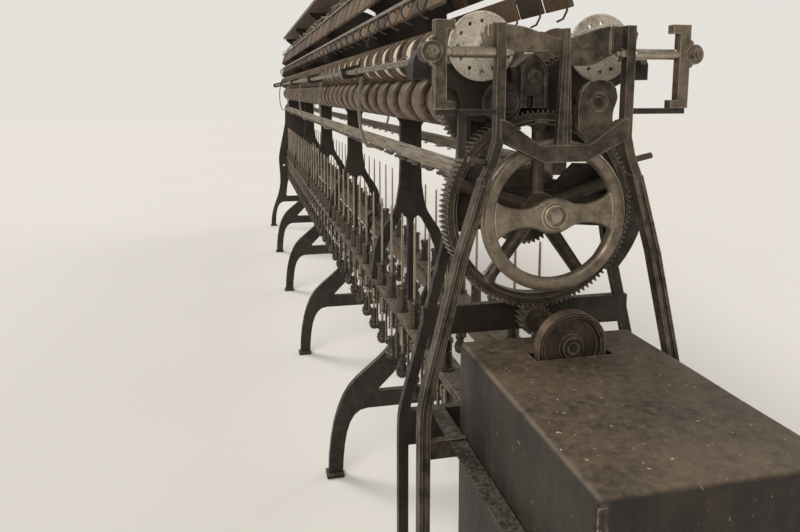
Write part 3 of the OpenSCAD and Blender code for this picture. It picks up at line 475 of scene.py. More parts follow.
def take_up_roll():
    """One roll lying along Y: rounded rim, a dished face on each end and a hub round the shaft."""
    w, r = ROLL_HALF, ROLL_R
    return turned_alike([(ROLL_SHAFT_R, w), (0.019, w), (0.020, w - 0.004), (r - 0.014, w - 0.006),
                         (r - 0.011, w - 0.001), (r - 0.004, w), (r - 0.001, w - 0.0012),
                         (r, w - 0.004)], steps=40)


for side, label in SIDES:
    rolls = copies(take_up_roll(), [(side * ROLL_X, y, ROLL_Z) for y in STATIONS])
    settle(rolls, "take_up_rolls_" + label, ROLL_WOOD, smooth=40)
    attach(rolls, "roll_line_" + label)
    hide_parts("rolls_" + label)

# ------------------------------------------------------------------ bobbins
# Wooden bobbins whose thin flanges straddle the rolls. The pale silk wound
# between the flanges rests on a roll, which turns it and so takes up the thread.

low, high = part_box("bobbins_left")
BOBBIN_X = -(high.x + low.x) / 2
BOBBIN_Z = (high.z + low.z) / 2
BOBBIN_HALF = STATIONS[0] - low.y
SIDE_PLAY, SILK_PLAY = 0.002, 0.0003
BOBBIN_BORE = 0.007
FLANGE_RISE = 0.0065
FLANGE_T = BOBBIN_HALF - ROLL_HALF - SIDE_PLAY
SILK_R = math.hypot(BOBBIN_X - ROLL_X, BOBBIN_Z - ROLL_Z) - ROLL_R - SILK_PLAY
BOBBIN_WOOD = turned_wood("bobbin_wood", (0.045, 0.029, 0.017), (0.155, 0.104, 0.063),
                          BOBBIN_HALF - FLANGE_T / 2, dusty=0.12)


def take_up_bobbin():
    """The wooden part, lying along Y: two flanges with a rounded rim and a bush at each end."""
    w, r, t = BOBBIN_HALF, SILK_R + FLANGE_RISE, FLANGE_T
    return turned_alike([(BOBBIN_BORE, w), (0.014, w), (0.0155, w - 0.002), (r - 0.013, w - 0.002),
                         (r - 0.010, w), (r - 0.002, w), (r, w - 0.002), (r, w - t + 0.002),
                         (r - 0.002, w - t), (SILK_R - 0.010, w - t - 0.001)], steps=40)


def silk_package():
    """The silk wound on one bobbin, its shoulders rounded where it meets the flanges."""
    w, r = BOBBIN_HALF - FLANGE_T, SILK_R
    return turned_alike([(r - 0.014, w), (r - 0.006, w - 0.0015), (r - 0.002, w - 0.005),
                         (r - 0.0004, w - 0.011), (r, w - 0.020)], steps=32)


def wound_silk(name):
    """Raw silk, creamy and close-wound: crossing threads in low relief, with old dust on it."""
    material, at = blank(name)
    thread = at.noise(1500.0, 2.0, 0.6, (0.08, 1, 0.08))
    skein = at.noise(90.0, 4.0, 0.6, (0.3, 1, 0.3))
    dust = (at.noise(26.0, 5.0, 0.7).step(0.46, 0.72) * 0.35).clamp()
    tone = (thread * 0.5 + skein * 0.5).step(0.32, 0.68).mix((0.46, 0.385, 0.28), (0.82, 0.76, 0.64))
    tone = dust.mix(tone, (0.26, 0.20, 0.135))
    finish(tone, (0.42 + 0.25 * dust).clamp(), 0.0, thread * 0.7 + skein, 0.0005, coat=0.1)
    return material


SILK = wound_silk("wound_silk")
for side, label in SIDES:
    spots = [(side * BOBBIN_X, y, BOBBIN_Z) for y in STATIONS]
    spools = settle(copies(take_up_bobbin(), spots), "take_up_bobbins_" + label, BOBBIN_WOOD, smooth=40)
    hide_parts("bobbins_" + label)
    silk = settle(copies(silk_package(), spots), "wound_silk_" + label, SILK, smooth=40)
    for piece in (spools, silk):
        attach(piece, "bobbin_line_" + label)

# ------------------------------------------------ bobbin shafts and end discs
# Each row of bobbins turns on a long steel shaft. At the head the shaft ends in
# a pale, pitted disc with a turned rim, a hub and a ring of drilled holes.


def pale_casting(name):
    """Pale, pitted coating on a disc, worn through to dark metal in blotches."""
    material, at = blank(name)
    blotch = at.noise(55.0, 6.0, 0.72)
    cloud = at.noise(14.0, 3.0, 0.5)
    pits = at.noise(380.0, 3.0, 0.6)
    tone = (cloud * 0.4 + pits * 0.6).step(0.36, 0.62).mix((0.27, 0.225, 0.17), (0.66, 0.60, 0.51))
    bare = ((blotch * 0.8 + pits * 0.2).step(0.53, 0.66) * 0.8).clamp()
    tone = bare.mix(tone, (0.13, 0.105, 0.08))
    finish(tone, (0.5 + 0.25 * blotch).clamp(), 0.2, pits * 0.5 - bare * 0.6, 0.0006)
    return material


PALE = pale_casting("pale_casting")
low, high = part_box("end_disc_left")
DISC_R = (high.x - low.x) / 2
DISC_GAP = 0.0105
DISC_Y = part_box("head_frame_rear")[0].y - DISC_GAP
HOLES, HOLE_R, HOLE_RING = 12, 0.0042, 0.72
DRILL_REACH = 0.02


def cut_away(piece, cutter):
    """Cuts one solid out of another."""
    only(piece)
    cut = piece.modifiers.new("cut", "BOOLEAN")
    cut.operation, cut.solver, cut.object = "DIFFERENCE", "EXACT", cutter
    bpy.ops.object.modifier_apply(modifier="cut")
    bpy.data.objects.remove(cutter)


def drill(radius, reach, place, steps):
    """A round cutter along Y that reaches this far to both sides of a place."""
    profile = [(0, -reach), (radius, -reach), (radius, reach), (0, reach)]
    return turned(profile, place, steps=steps, axis=(0, 1, 0))


def end_disc():
    """A pale disc with a turned rim and a raised hub, drilled through near its rim."""
    r, bore = DISC_R, BOBBIN_BORE
    disc = turned([(bore, -0.005), (0.013, -0.005), (0.015, -0.003), (0.016, 0), (r - 0.006, 0),
                   (r - 0.004, -0.001), (r - 0.001, -0.001), (r, 0), (r, 0.006), (r - 0.001, 0.007),
                   (bore, 0.007), (bore, -0.005)], (0, 0, 0), steps=60, axis=(0, 1, 0))
    for i in range(HOLES):
        a = math.tau * i / HOLES
        place = (r * HOLE_RING * math.cos(a), 0, r * HOLE_RING * math.sin(a))
        cut_away(disc, drill(HOLE_R, DRILL_REACH, place, steps=12))
    return disc


for side, label in SIDES:
    disc = settle(copies(end_disc(), [(side * BOBBIN_X, DISC_Y, BOBBIN_Z)]), "pale_disc_" + label, PALE)
    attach(disc, "bobbin_line_" + label)
    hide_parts("end_disc_" + label)
SHAFT_STEEL = bright_steel("shaft_steel", (0.25, 0.21, 0.165), (0.46, 0.40, 0.325),
                           rough=0.28, grime=0.65, stretch=(1, 0.03, 1))
dress(SHAFT_STEEL, "worn_steel", "bobbin_shaft_left", "bobbin_shaft_right")

# ----------------------------------------------------- guide rails and eyes
# A bare board over each spindle row, pale with lint, hung from bowed steel straps.
# Every thread has a wire pigtail driven in from below and a dark twisted flap.


def board_wood(name, dark, light, dusty=0.5, rough=0.7):
    """Sawn board: long grain, dark checks, and lint lying on its top face."""
    material, at = blank(name)
    grain = at.noise(46.0, 6.0, 0.68, (1, 0.045, 1))
    fine = at.noise(330.0, 3.0, 0.65, (1, 0.03, 1))
    cracks = at.noise(70.0, 4.0, 0.6, (1, 0.02, 1)).step(0.66, 0.72)
    tone = (grain * 0.6 + fine * 0.4).step(0.38, 0.62).mix(dark, light)
    tone = (cracks * 0.8).clamp().mix(tone, [c * 0.25 for c in dark])
    streaks = at.noise(150.0, 5.0, 0.8, (1, 0.05, 1)).step(0.38, 0.60)
    lint = ((at.up().step(0.2, 0.9) * 0.7 + 0.3) * streaks * dusty).clamp()
    tone = lint.mix(tone, (0.60, 0.53, 0.43))
    relief = grain * 0.5 + fine * 0.5 + lint * 1.5 - cracks
    finish(tone, (rough + 0.2 * grain).clamp(), 0.0, relief, 0.0008)
    return material


RAIL_WOOD = board_wood("rail_wood", (0.024, 0.016, 0.010), (0.165, 0.118, 0.074), dusty=0.9)
dress(RAIL_WOOD, "rail_wood", "guide_rail_left", "guide_rail_right")
dress(SHAFT_STEEL, "leg_iron", "guide_straps")
WIRE_STEEL = bright_steel("wire_steel", (0.20, 0.17, 0.135), (0.42, 0.37, 0.31), rough=0.3, grime=0.55)
low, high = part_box("thread_eyes")
EYE_FOOT, RAIL_UNDER = low.z, high.z
EYE_R, EYE_WIRE_R, EYE_DROP, EYE_TURNS, EYE_STEPS = 0.0058, 0.0013, 0.003, 1.45, 16
FLAP_R, FLAP_SEAT = 0.0042, 0.0016
FLAP_X = -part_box("guide_rail_left")[0].x - 0.004


def bent_wire(points, radius, sides=6):
    """A length of wire bent along some points, its ends closed."""
    curve = bpy.data.curves.new("wire", "CURVE")
    curve.dimensions = "3D"
    curve.bevel_depth = radius
    curve.bevel_resolution = max(0, sides // 2 - 2)
    curve.use_fill_caps = True
    line = curve.splines.new("POLY")
    line.points.add(len(points) - 1)
    for point, place in zip(line.points, points):
        point.co = (*place, 1)
    piece = bpy.data.objects.new("wire", curve)
    bpy.context.scene.collection.objects.link(piece)
    only(piece)
    bpy.ops.object.convert(target="MESH")
    return bpy.context.object


def pigtail():
    """A screw eye of wire: a shank down from the rail and one and a half turns round the thread."""
    path = [(0, -EYE_R, RAIL_UNDER), (0, -EYE_R, EYE_FOOT + 0.006)]
    for i in range(EYE_STEPS + 1):
        share = i / EYE_STEPS
        a = EYE_TURNS * math.tau * share
        path.append((EYE_R * math.sin(a), -EYE_R * math.cos(a), EYE_FOOT + 0.0045 - EYE_DROP * share))
    return bent_wire(path, EYE_WIRE_R)


def guide_flap():
    """The dark, twisted finger wire seated under the outer edge of the rail at each thread."""
    z = RAIL_UNDER - FLAP_SEAT
    return bent_wire([(0, -0.046, z), (-0.004, -0.034, z - 0.003), (-0.002, -0.020, z),
                      (-0.006, -0.006, z - 0.004), (-0.003, 0.008, z - 0.0005), (-0.006, 0.022, z - 0.004),
                      (-0.002, 0.034, z - 0.002), (-0.005, 0.045, z - 0.005)], FLAP_R)


eyes = copies(pigtail(), [(side * SPINDLE_X, y, 0) for side in (LEFT, RIGHT) for y in STATIONS])
settle(eyes, "pigtail_eyes", WIRE_STEEL, smooth=60)
flaps = [copies(guide_flap(), [(side * FLAP_X, y, 0) for y in STATIONS], mirror=side == RIGHT)
         for side in (LEFT, RIGHT)]
flaps = settle(joined(*flaps), "guide_flaps", KNOB_IRON, smooth=60)
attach(flaps, "frame")
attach(eyes, "frame")
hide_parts("thread_eyes")

# ------------------------------------------------------------ traverse rods
# Long drawn steel rods, dark with oil, that slide to and fro and lay the silk
# across each bobbin. Every thread has a finger fixed on the rod.

dress(DARK_STEEL, "worn_steel", "traverse_rod_left", "traverse_rod_right")

# -------------------------------------------------------------------- creel
# Iron posts with sloping arms carry a shelf and two rows of stained drop boards on
# each side, one board for every thread. Steel rods hold wire hooks, and loose
# winding sticks lie on the rods.

BOARD_T, BOARD_W = 0.012, PITCH * 0.82
SCREW_SIDE, SCREW_UP = 0.26, 0.62  # shares of a board's width and length
low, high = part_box("creel_boards")
RISE = high.z - low.z
# The foot and the head of each row, as (x, z).
ROWS = (((0.1452, low.z + RISE * 0.1733), (0.126, low.z + RISE * 0.4333)),
        ((0.152, low.z + RISE * 0.5667), (0.122, high.z)))


def drop_board(foot, head):
    """One sloping board of a row, a little rounded, with two screws through its upper half."""
    (x0, z0), (x1, z1) = foot, head
    length = math.hypot(x1 - x0, z1 - z0)
    pieces = [block((-BOARD_T, -BOARD_W / 2, 0), (0, BOARD_W / 2, length), 0.0022)]
    for y in (-SCREW_SIDE * BOARD_W, SCREW_SIDE * BOARD_W):
        pieces.append(turned([(0.0048, -0.002), (0.0048, 0.0006), (0.0030, 0.0016), (0, 0.0018)],
                             (0, y, length * SCREW_UP), steps=8, axis=(1, 0, 0)))
    board = joined(*pieces)
    lean = Matrix.Rotation(math.atan2(x1 - x0, z1 - z0), 4, "Y")
    board.matrix_world = Matrix.Translation((x0, 0, z0)) @ lean @ board.matrix_world
    return board


def stained_board(name):
    """Stained boards, each with its own tone, long grain across the row and grey lint on top."""
    material, at = blank(name)
    y = at.node("SeparateXYZ", {0: at}, out=1)
    number = at.node("Math", {0: (y - FIRST_Y) / PITCH + 0.5}, operation="FLOOR")
    own = at.node("TexWhiteNoise", {"W": number}, noise_dimensions="1D")
    grain = at.noise(50.0, 6.0, 0.66, (1, 1, 0.12))
    pores = at.noise(420.0, 3.0, 0.6, (1, 1, 0.08))
    tone = (grain * 0.55 + own * 0.45).step(0.22, 0.80).mix((0.034, 0.020, 0.0105), (0.150, 0.096, 0.053))
    tone = (pores.step(0.56, 0.70) * 0.6).clamp().mix(tone, (0.018, 0.012, 0.008))
    lint = (at.noise(200.0, 5.0, 0.8).step(0.54, 0.78) * 0.2).clamp()
    tone = lint.mix(tone, (0.36, 0.30, 0.23))
    finish(tone, (0.62 + 0.3 * grain).clamp(), 0.0, grain * 0.5 + pores * 0.5 + lint, 0.0006)
    return material


DROP_WOOD = stained_board("stained_board")
rows = [copies(drop_board(foot, head), [(0, y, 0) for y in STATIONS], mirror=side == LEFT)
        for side in (LEFT, RIGHT) for foot, head in ROWS]
boards = settle(joined(*rows), "drop_boards", DROP_WOOD)
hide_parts("creel_boards")
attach(boards, "frame")

chance = random.Random(11)
STICKS, STICK_X, STICK_R = 70, 0.134, 0.0021
ROD_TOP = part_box("hook_rods")[1].z
sticks = []
for side in (LEFT, RIGHT):
    for i in range(STICKS):
        y = STATIONS[0] + (STATIONS[-1] - STATIONS[0]) * (i + chance.random()) / STICKS
        half = chance.uniform(0.09, 0.19)
        x, z = side * (STICK_X + chance.uniform(0, 0.012)), ROD_TOP + chance.uniform(0.001, 0.009)
        lean, rise = chance.uniform(-0.008, 0.008), chance.uniform(-0.012, 0.016)
        ends = [(x - lean, y - half, z - rise), (x + lean, y + half, z + rise)]
        sticks.append(bent_wire(ends, STICK_R, sides=4))
sticks = settle(joined(*sticks), "winding_sticks", RAIL_WOOD)

HOOK_R, HOOK_SHARE = 0.0026, 0.2  # the hook stands this share of the pitch behind its station


def wire_hook():
    """One hook of thick wire: out from its rod, up and curled back inwards."""
    return bent_wire([(0.147, 0, 1.452), (0.162, 0, 1.459), (0.172, 0.002, 1.478), (0.169, 0.004, 1.497),
                      (0.157, 0.007, 1.503), (0.151, 0.010, 1.493)], HOOK_R)


spots = [(0, y + PITCH * HOOK_SHARE, 0) for y in STATIONS]
hooks = joined(copies(wire_hook(), spots), copies(wire_hook(), spots, mirror=True))
settle(hooks, "wire_hooks", KNOB_IRON, smooth=60)
for piece, slot in ((sticks, "rail_wood"), (hooks, "worn_steel")):
    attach(piece, "frame")
BOARD_WOOD = board_wood("board_wood", (0.034, 0.022, 0.013), (0.125, 0.086, 0.053), dusty=0.2, rough=0.5)
dress(LEG_IRON, "leg_iron", "upper_posts")
dress(BOARD_WOOD, "board_wood", "shelf_board")
dress(SHAFT_STEEL, "worn_steel", "hook_rods")

# ------------------------------------------------------- gearing of the head
# The big gear with five rounded arms and the small train behind it, all of
# cast iron with cut teeth, oily in the gaps and bright on the tips, partly from wear and partly as painted
# highlight.

GEAR_IRON = cast_iron("gear_iron", (0.016, 0.012, 0.0084), (0.100, 0.076, 0.053),
                      sheen=0.30, lint=0.2, metal=0.5, edge_wear_and_highlight_gain=0.9)
dress(GEAR_IRON, "head_iron", "large_gear", "change_gear", "idler_gear", "roll_gear_left", "roll_gear_right",
      "drive_pinion")
dress(BRACKET_IRON, "head_iron", "plate_cam")
dress(SHAFT_STEEL, "worn_steel", "main_shaft", "motor_rotor")

# -------------------------------------------------------------- countershaft
# The short steel shaft below the big gear. It turns the drive pinion and carries
# a cast belt pulley with a crowned rim and a thin web, and a set collar.

low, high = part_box("countershaft")
SHAFT_R, PULLEY_R, PULLEY_W = 0.010, (high.x - low.x) / 2, 0.026
COLLAR_Y = high.y - 0.0197
middle = (0, low.y, (low.z + high.z) / 2)
r, w = PULLEY_R, PULLEY_W
rim_half = [(SHAFT_R, 0), (0.019, 0), (0.021, 0.003), (0.022, w * 0.36), (r - 0.012, w * 0.38),
            (r - 0.008, 0.002), (r - 0.0015, 0.0005)]
profile = rim_half + [(r, w / 2)] + [(a, w - h) for a, h in reversed(rim_half)]
pulley = turned(profile + [profile[0]], middle, steps=64, axis=(0, 1, 0))
length = high.y - low.y
shaft = turned([(0, 0.001), (SHAFT_R - 0.001, 0.001), (SHAFT_R, 0.002), (SHAFT_R, length - 0.002),
                (SHAFT_R - 0.001, length), (0, length)], middle, steps=24, axis=(0, 1, 0))
collar = turned([(SHAFT_R, 0), (0.015, 0), (0.016, 0.001), (0.016, 0.0046), (0.015, 0.0056),
                 (SHAFT_R, 0.0056), (SHAFT_R, 0)], (0, COLLAR_Y, middle[2]), steps=24, axis=(0, 1, 0))
counter = settle(joined(pulley, shaft, collar), "counter_pulley", GEAR_IRON, smooth=40)
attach(counter, "counter")
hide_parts("countershaft")

# ---------------------------------------------------------------- handwheel
# The cast handwheel on the front of the main shaft: a rounded rim polished by
# hands, its edges lightened partly by that wear and partly as painted highlight, two arms that flare into it
# like a bow tie, and a hub closed by a nut.

low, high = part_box("handwheel")
WHEEL_R, WHEEL_Y, WHEEL_Z = (high.x - low.x) / 2, low.y, (high.z + low.z) / 2
RIM, RIM_T, RIM_ROUND = 0.025, 0.022, 0.0085
ARM_T, ARM_INSET, ARM_ROUND = 0.013, 0.005, 0.0045
ARM_TILT = math.radians(2.6)
ARM_REACH = WHEEL_R - RIM + 0.008


def rim_profile(inner, outer, foot, head, round_by, steps=4):
    """The outline of a rim's section with its corners rounded, as (radius, height) points."""
    corners = ((outer, head, 0), (inner, head, 90), (inner, foot, 180), (outer, foot, 270))
    points = []
    for r, h, start in corners:
        r += -round_by if r == outer else round_by
        h += -round_by if h == head else round_by
        for i in range(steps + 1):
            a = math.radians(start + 90 * i / steps)
            points.append((r + round_by * math.cos(a), h + round_by * math.sin(a)))
    return points + [points[0]]


def slab(upper, lower, y0, y1, round_by):
    """A casting of even thickness between two edges in X and Z, with its corners rounded."""
    mesh = bpy.data.meshes.new("slab")
    faces = [(i, i + 1, len(upper) + i + 1, len(upper) + i) for i in range(len(upper) - 1)]
    mesh.from_pydata([(x, y0, z) for x, z in upper + lower], [], faces)
    piece = bpy.data.objects.new("slab", mesh)
    bpy.context.scene.collection.objects.link(piece)
    only(piece)
    bpy.ops.object.mode_set(mode="EDIT")
    bpy.ops.mesh.select_all(action="SELECT")
    bpy.ops.mesh.extrude_region_move(TRANSFORM_OT_translate={"value": (0, y1 - y0, 0)})
    bpy.ops.mesh.select_all(action="SELECT")
    bpy.ops.mesh.normals_make_consistent(inside=False)
    bpy.ops.object.mode_set(mode="OBJECT")
    rounding = piece.modifiers.new("rounding", "BEVEL")
    rounding.width = round_by
    rounding.segments = 3
    rounding.angle_limit = math.radians(50)
    bpy.ops.object.modifier_apply(modifier="rounding")
    return piece


WHEEL_IRON = cast_iron("wheel_iron", (0.085, 0.066, 0.047), (0.30, 0.243, 0.178),
                       sheen=0.27, lint=0.1, metal=0.6, edge_wear_and_highlight_gain=0.35)
# Distance from the hub and half the arm's width there, as shares of the wheel's radius.
flare = [(0, 0.235), (0.09, 0.228), (0.165, 0.198), (0.24, 0.160), (0.31, 0.136), (0.42, 0.126),
         (0.52, 0.136), (0.62, 0.160), (0.71, 0.198), (0.78, 0.250), (ARM_REACH / WHEEL_R, 0.27)]
flare = [(x * WHEEL_R, w * WHEEL_R) for x, w in flare]
upper = [(-x, w) for x, w in reversed(flare[1:])] + flare
lower = [(x, -w) for x, w in upper]
upper, lower = ([(x * math.cos(ARM_TILT) - z * math.sin(ARM_TILT),
                  WHEEL_Z + x * math.sin(ARM_TILT) + z * math.cos(ARM_TILT)) for x, z in edge]
                for edge in (upper, lower))
arms = slab(upper, lower, WHEEL_Y + ARM_INSET, WHEEL_Y + ARM_INSET + ARM_T, ARM_ROUND)
rim = turned(rim_profile(WHEEL_R - RIM, WHEEL_R, 0, RIM_T, RIM_ROUND), (0, WHEEL_Y, WHEEL_Z),
             steps=80, axis=(0, 1, 0))
collar = turned([(0.0142, 0.009), (0.0170, 0.009), (0.0176, 0.0020), (0.0188, 0.0004), (0.0204, 0.0004),
                 (0.0224, 0.0022), (0.0242, 0.0058), (0.0252, 0.012), (0.0250, 0.022), (0.0220, 0.028),
                 (0.0142, 0.030), (0.0142, 0.009)], (0, WHEEL_Y, WHEEL_Z), steps=40, axis=(0, 1, 0))
wheel = settle(joined(rim, collar, arms), "handwheel_casting", WHEEL_IRON, smooth=40)
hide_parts("handwheel")
nut = turned([(0, 0.0006), (0.0026, 0), (0.0056, 0.0002), (0.0078, 0.0014), (0.0090, 0.0034),
              (0.0108, 0.0036), (0.0114, 0.0046), (0.0114, 0.0075), (0, 0.0075)],
             (0, WHEEL_Y, WHEEL_Z), steps=24, axis=(0, 1, 0))
nut = settle(nut, "hub_nut", BRACKET_IRON, smooth=40)
for piece, slot in ((wheel, "head_iron"), (nut, "worn_steel")):
    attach(piece, "main_drive")

# ------------------------------------------------- cross-head and bearing house
# The cast cross-head has a wing to each side with a slot near its end, and a ridge on
# the right one. The bearing house behind the yoke has an arched rim and a hexagon bolt.


def hex_bolt(x, y, z, radius, height):
    """A hexagon head with chamfered corners on a round washer, facing the front."""
    wide = radius + 0.0018
    head = turned([(0, -height), (radius - 0.001, -height), (radius, 0.001 - height), (radius, -0.0012),
                   (0, -0.0012)], (x, y, z), steps=6, axis=(0, 1, 0))
    washer = turned([(0, -0.0014), (wide - 0.0006, -0.0014), (wide, -0.0008), (wide, 0.0006), (0, 0.0006)],
                    (x, y, z), steps=20, axis=(0, 1, 0))
    return joined(head, washer)


def cut_slot(piece, y, x0, x1, z0, z1):
    """Cuts an upright slot with a round foot through a casting, up to z1."""
    half, deep = (x1 - x0) / 2, 0.1
    cut_away(piece, drill(half, deep, (x0 + half, y, z0 + half), steps=20))
    cut_away(piece, block((x0, y - deep, z0 + half), (x1, y + deep, z1)))


low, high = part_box("cross_head")
WING_ROUND = 0.0025
left_upper = [(-0.1465, 1.397), (-0.140, 1.409), (-0.126, 1.412), (-0.108, 1.412), (-0.090, 1.411),
              (-0.070, 1.408), (-0.050, 1.402), (-0.028, 1.395), (-0.010, 1.390), (0.014, 1.390)]
left_lower = [(-0.141, 1.380), (-0.134, 1.368), (-0.120, 1.3645), (-0.106, 1.364), (-0.088, 1.365),
              (-0.068, 1.366), (-0.048, 1.366), (-0.028, 1.366), (-0.010, 1.366), (0.014, 1.366)]
right_upper = [(0.011, 1.389), (0.022, 1.393), (0.036, 1.398), (0.052, 1.4025), (0.070, 1.408),
               (0.086, 1.4115), (0.104, 1.412), (0.122, 1.412), (0.135, 1.410), (0.1415, 1.400)]
right_lower = [(0.012, 1.346), (0.022, 1.344), (0.036, 1.344), (0.052, 1.344), (0.066, 1.3480),
               (0.082, 1.3570), (0.098, 1.3650), (0.116, 1.3680), (0.130, 1.3705), (0.137, 1.376)]
left_wing = slab(left_upper, left_lower, low.y, high.y, WING_ROUND)
right_wing = slab(right_upper, right_lower, low.y, high.y, WING_ROUND)
cut_slot(left_wing, low.y, -0.1365, -0.1300, 1.3920, 1.43)
cut_slot(right_wing, low.y, 0.1240, 0.1305, 1.3900, 1.4040)
ridge = block((0.0870, low.y - 0.0030, 1.3640), (0.0925, low.y + 0.002, 1.4090), 0.0014)
wings = settle(joined(left_wing, right_wing, ridge), "cross_head_casting", BRACKET_IRON, smooth=35)
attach(wings, "frame")
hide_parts("cross_head")

low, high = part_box("bearing_house")
FACE_Y, APEX_X, RIM_BAND, BOLT_Z = low.y + 0.006, (low.x + high.x) / 2, 0.0065, 1.328
outer = [(low.x, low.z), (low.x, 1.333), (low.x + 0.004, 1.346), (low.x + 0.013, 1.356), (APEX_X, 1.3645)]
inner = [(low.x + RIM_BAND, low.z), (low.x + RIM_BAND, 1.332), (low.x + 0.0095, 1.3415),
         (low.x + 0.0155, 1.3495), (APEX_X, 1.3565)]
outer += [(2 * APEX_X - x, z) for x, z in reversed(outer[:-1])]
inner += [(2 * APEX_X - x, z) for x, z in reversed(inner[:-1])]
arch = slab(outer, inner, FACE_Y - 0.0035, FACE_Y + 0.001, 0.0011)
rim_and_bolt = joined(arch, hex_bolt(APEX_X, FACE_Y, BOLT_Z, 0.0105, 0.0075))
settle(rim_and_bolt, "bearing_house_rim", HEAD_IRON, smooth=30)
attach(rim_and_bolt, "frame")

# ------------------------------------------------------------- spacer bolts
# A polished steel tube on each side keeps the end bracket clear of the head. The
# bolt through it ends in a hexagon nut and a short thread inside the limb.

low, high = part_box("spacer_bolts")
TUBE_Y, TUBE_Z = (low.y + high.y) / 2, (low.z + high.z) / 2
TUBE_IN, TUBE_OUT, TUBE_R = 0.126, 0.212, 0.0091
BOLT_STEEL = bright_steel("bolt_steel", (0.28, 0.235, 0.18), (0.56, 0.49, 0.40), rough=0.25, grime=0.45)
bolts = []
for side in (LEFT, RIGHT):
    r, end = TUBE_R, TUBE_OUT
    tube = [(0, TUBE_IN), (r - 0.001, TUBE_IN), (r, TUBE_IN + 0.002), (r, end - 0.010),
            (r - 0.0012, end - 0.009), (r - 0.0012, end - 0.007), (r, end - 0.006), (r - 0.0005, end),
            (0, end)]
    nut = [(0, 0.1018), (0.0092, 0.1018), (0.0103, 0.1028), (0.0103, 0.1082), (0.0092, 0.1095), (0, 0.1095)]
    thread = [(0, 0.094), (0.0042, 0.094), (0.005, 0.095), (0.005, 0.102), (0, 0.102)]
    bolts += [turned(profile, (0, TUBE_Y, TUBE_Z), steps=steps, axis=(side, 0, 0))
              for profile, steps in ((tube, 24), (nut, 6), (thread, 14))]
bolts = settle(joined(*bolts), "spacer_bolt_pair", BOLT_STEEL, smooth=25)
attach(bolts, "frame")
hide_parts("spacer_bolts")

# ------------------------------------------------------------ guard and motor
# A box folded from sheet iron over the motor, rusted and dusty, with a lip and
# rivets on its front; its top is lighter than its sides partly by dust and partly as painted light and shade.
# The angle bearers on both sides tie it to the head.

SHEET_T, SHEET_IN, FOLD_R = 0.0024, 0.001, 0.011
DENT_DEPTH, DENT_SCALE = 0.0011, 7.0
GRID_X, GRID_Y, GRID_Z = (-0.12, -0.03, 0.03, 0.12), 0.05, 0.06  # where the sheet bends


def sheet_cover(low, high, slot_y, slot_x):
    """One folded sheet: rounded edges, shallow dents, open below, and a slot in its top for the pulley."""
    cover = block((low.x + SHEET_IN, low.y + SHEET_IN, low.z - 0.05), (high.x - SHEET_IN, high.y, high.z),
                  FOLD_R, segments=4)
    only(cover)
    bpy.ops.object.transform_apply(location=True, rotation=True, scale=True)
    cuts = [((0, 0, low.z), (0, 0, 1))]
    cuts += [((x, 0, 0), (1, 0, 0)) for x in (-slot_x, slot_x, *GRID_X)]
    cuts += [((0, y, 0), (0, 1, 0)) for y in (*slot_y, *(low.y + GRID_Y * i for i in range(1, 11)))]
    cuts += [((0, 0, GRID_Z * i), (0, 0, 1)) for i in range(1, 14)]
    bpy.ops.object.mode_set(mode="EDIT")
    for place, facing in cuts:
        bpy.ops.mesh.select_all(action="SELECT")
        bpy.ops.mesh.bisect(plane_co=place, plane_no=facing, clear_inner=facing[2] == 1 and place[2] == low.z)
    bpy.ops.mesh.select_mode(type="FACE")
    bpy.ops.mesh.select_all(action="DESELECT")
    bpy.ops.object.mode_set(mode="OBJECT")
    for face in cover.data.polygons:
        x, y, z = face.center
        face.select = abs(x) < slot_x and slot_y[0] < y < slot_y[1] and z > high.z - 0.002
    bpy.ops.object.mode_set(mode="EDIT")
    bpy.ops.mesh.delete(type="FACE")
    bpy.ops.mesh.select_all(action="SELECT")
    bpy.ops.mesh.normals_make_consistent(inside=False)
    bpy.ops.object.mode_set(mode="OBJECT")
    normals = [v.normal.copy() for v in cover.data.vertices]
    for vertex, normal in zip(cover.data.vertices, normals):
        vertex.co -= normal * DENT_DEPTH * (1 + noise.noise(vertex.co * DENT_SCALE))
    wall = cover.modifiers.new("wall", "SOLIDIFY")
    wall.thickness = SHEET_T
    wall.offset = -1
    bpy.ops.object.modifier_apply(modifier="wall")
    return cover


def rusted_sheet(name):
    """Old sheet iron: brown rust in blooms, dark greasy bare patches, pale scuffs, a top lighter than the
    sides partly by dust and partly as painted light, and edges lightened partly as painted highlight.
    """
    material, at = blank(name)
    bloom = at.noise(7.0, 6.0, 0.68)
    spot = at.noise(70.0, 6.0, 0.75)
    grit = at.noise(700.0, 3.0, 0.65)
    speck = at.noise(95.0, 3.0, 0.5)
    streak = at.noise(24.0, 5.0, 0.7, (1, 1, 0.12))
    tone = (bloom * 0.5 + streak * 0.5).step(0.36, 0.64).mix((0.0075, 0.0053, 0.0035), (0.034, 0.024, 0.0155))
    # The top is made lighter than the sides by the dust, scuffs and specks weighted by it: partly dust,
    # partly painted light on the top and painted shade on the sides.
    top = at.up().step(0.25, 0.9)
    dust = (top * (spot * 0.45 + bloom * 0.35 + grit * 0.2).step(0.30, 0.66)).clamp()
    tone = (dust * 0.9).clamp().mix(tone, (0.165, 0.119, 0.077))
    scuff = (spot * 0.6 + grit * 0.4).step(0.56, 0.68) * (0.3 + 0.25 * top)
    tone = scuff.clamp().mix(tone, (0.22, 0.165, 0.112))
    tone = (speck.step(0.69, 0.735) * (0.25 + 0.6 * top)).clamp().mix(tone, (0.55, 0.47, 0.36))
    # Edges lightened where the surface turns: partly rubbed wear, partly painted highlight.
    edge_wear_and_highlight = ((at.edge(0.006) * 6.0).clamp() * spot.step(0.40, 0.60) * 0.7).clamp()
    tone = edge_wear_and_highlight.mix(tone, (0.34, 0.27, 0.19))
    finish(tone, (0.36 + 0.35 * spot).clamp(), 0.25, spot * 0.7 + grit * 0.4 + bloom, 0.0009)
    return material


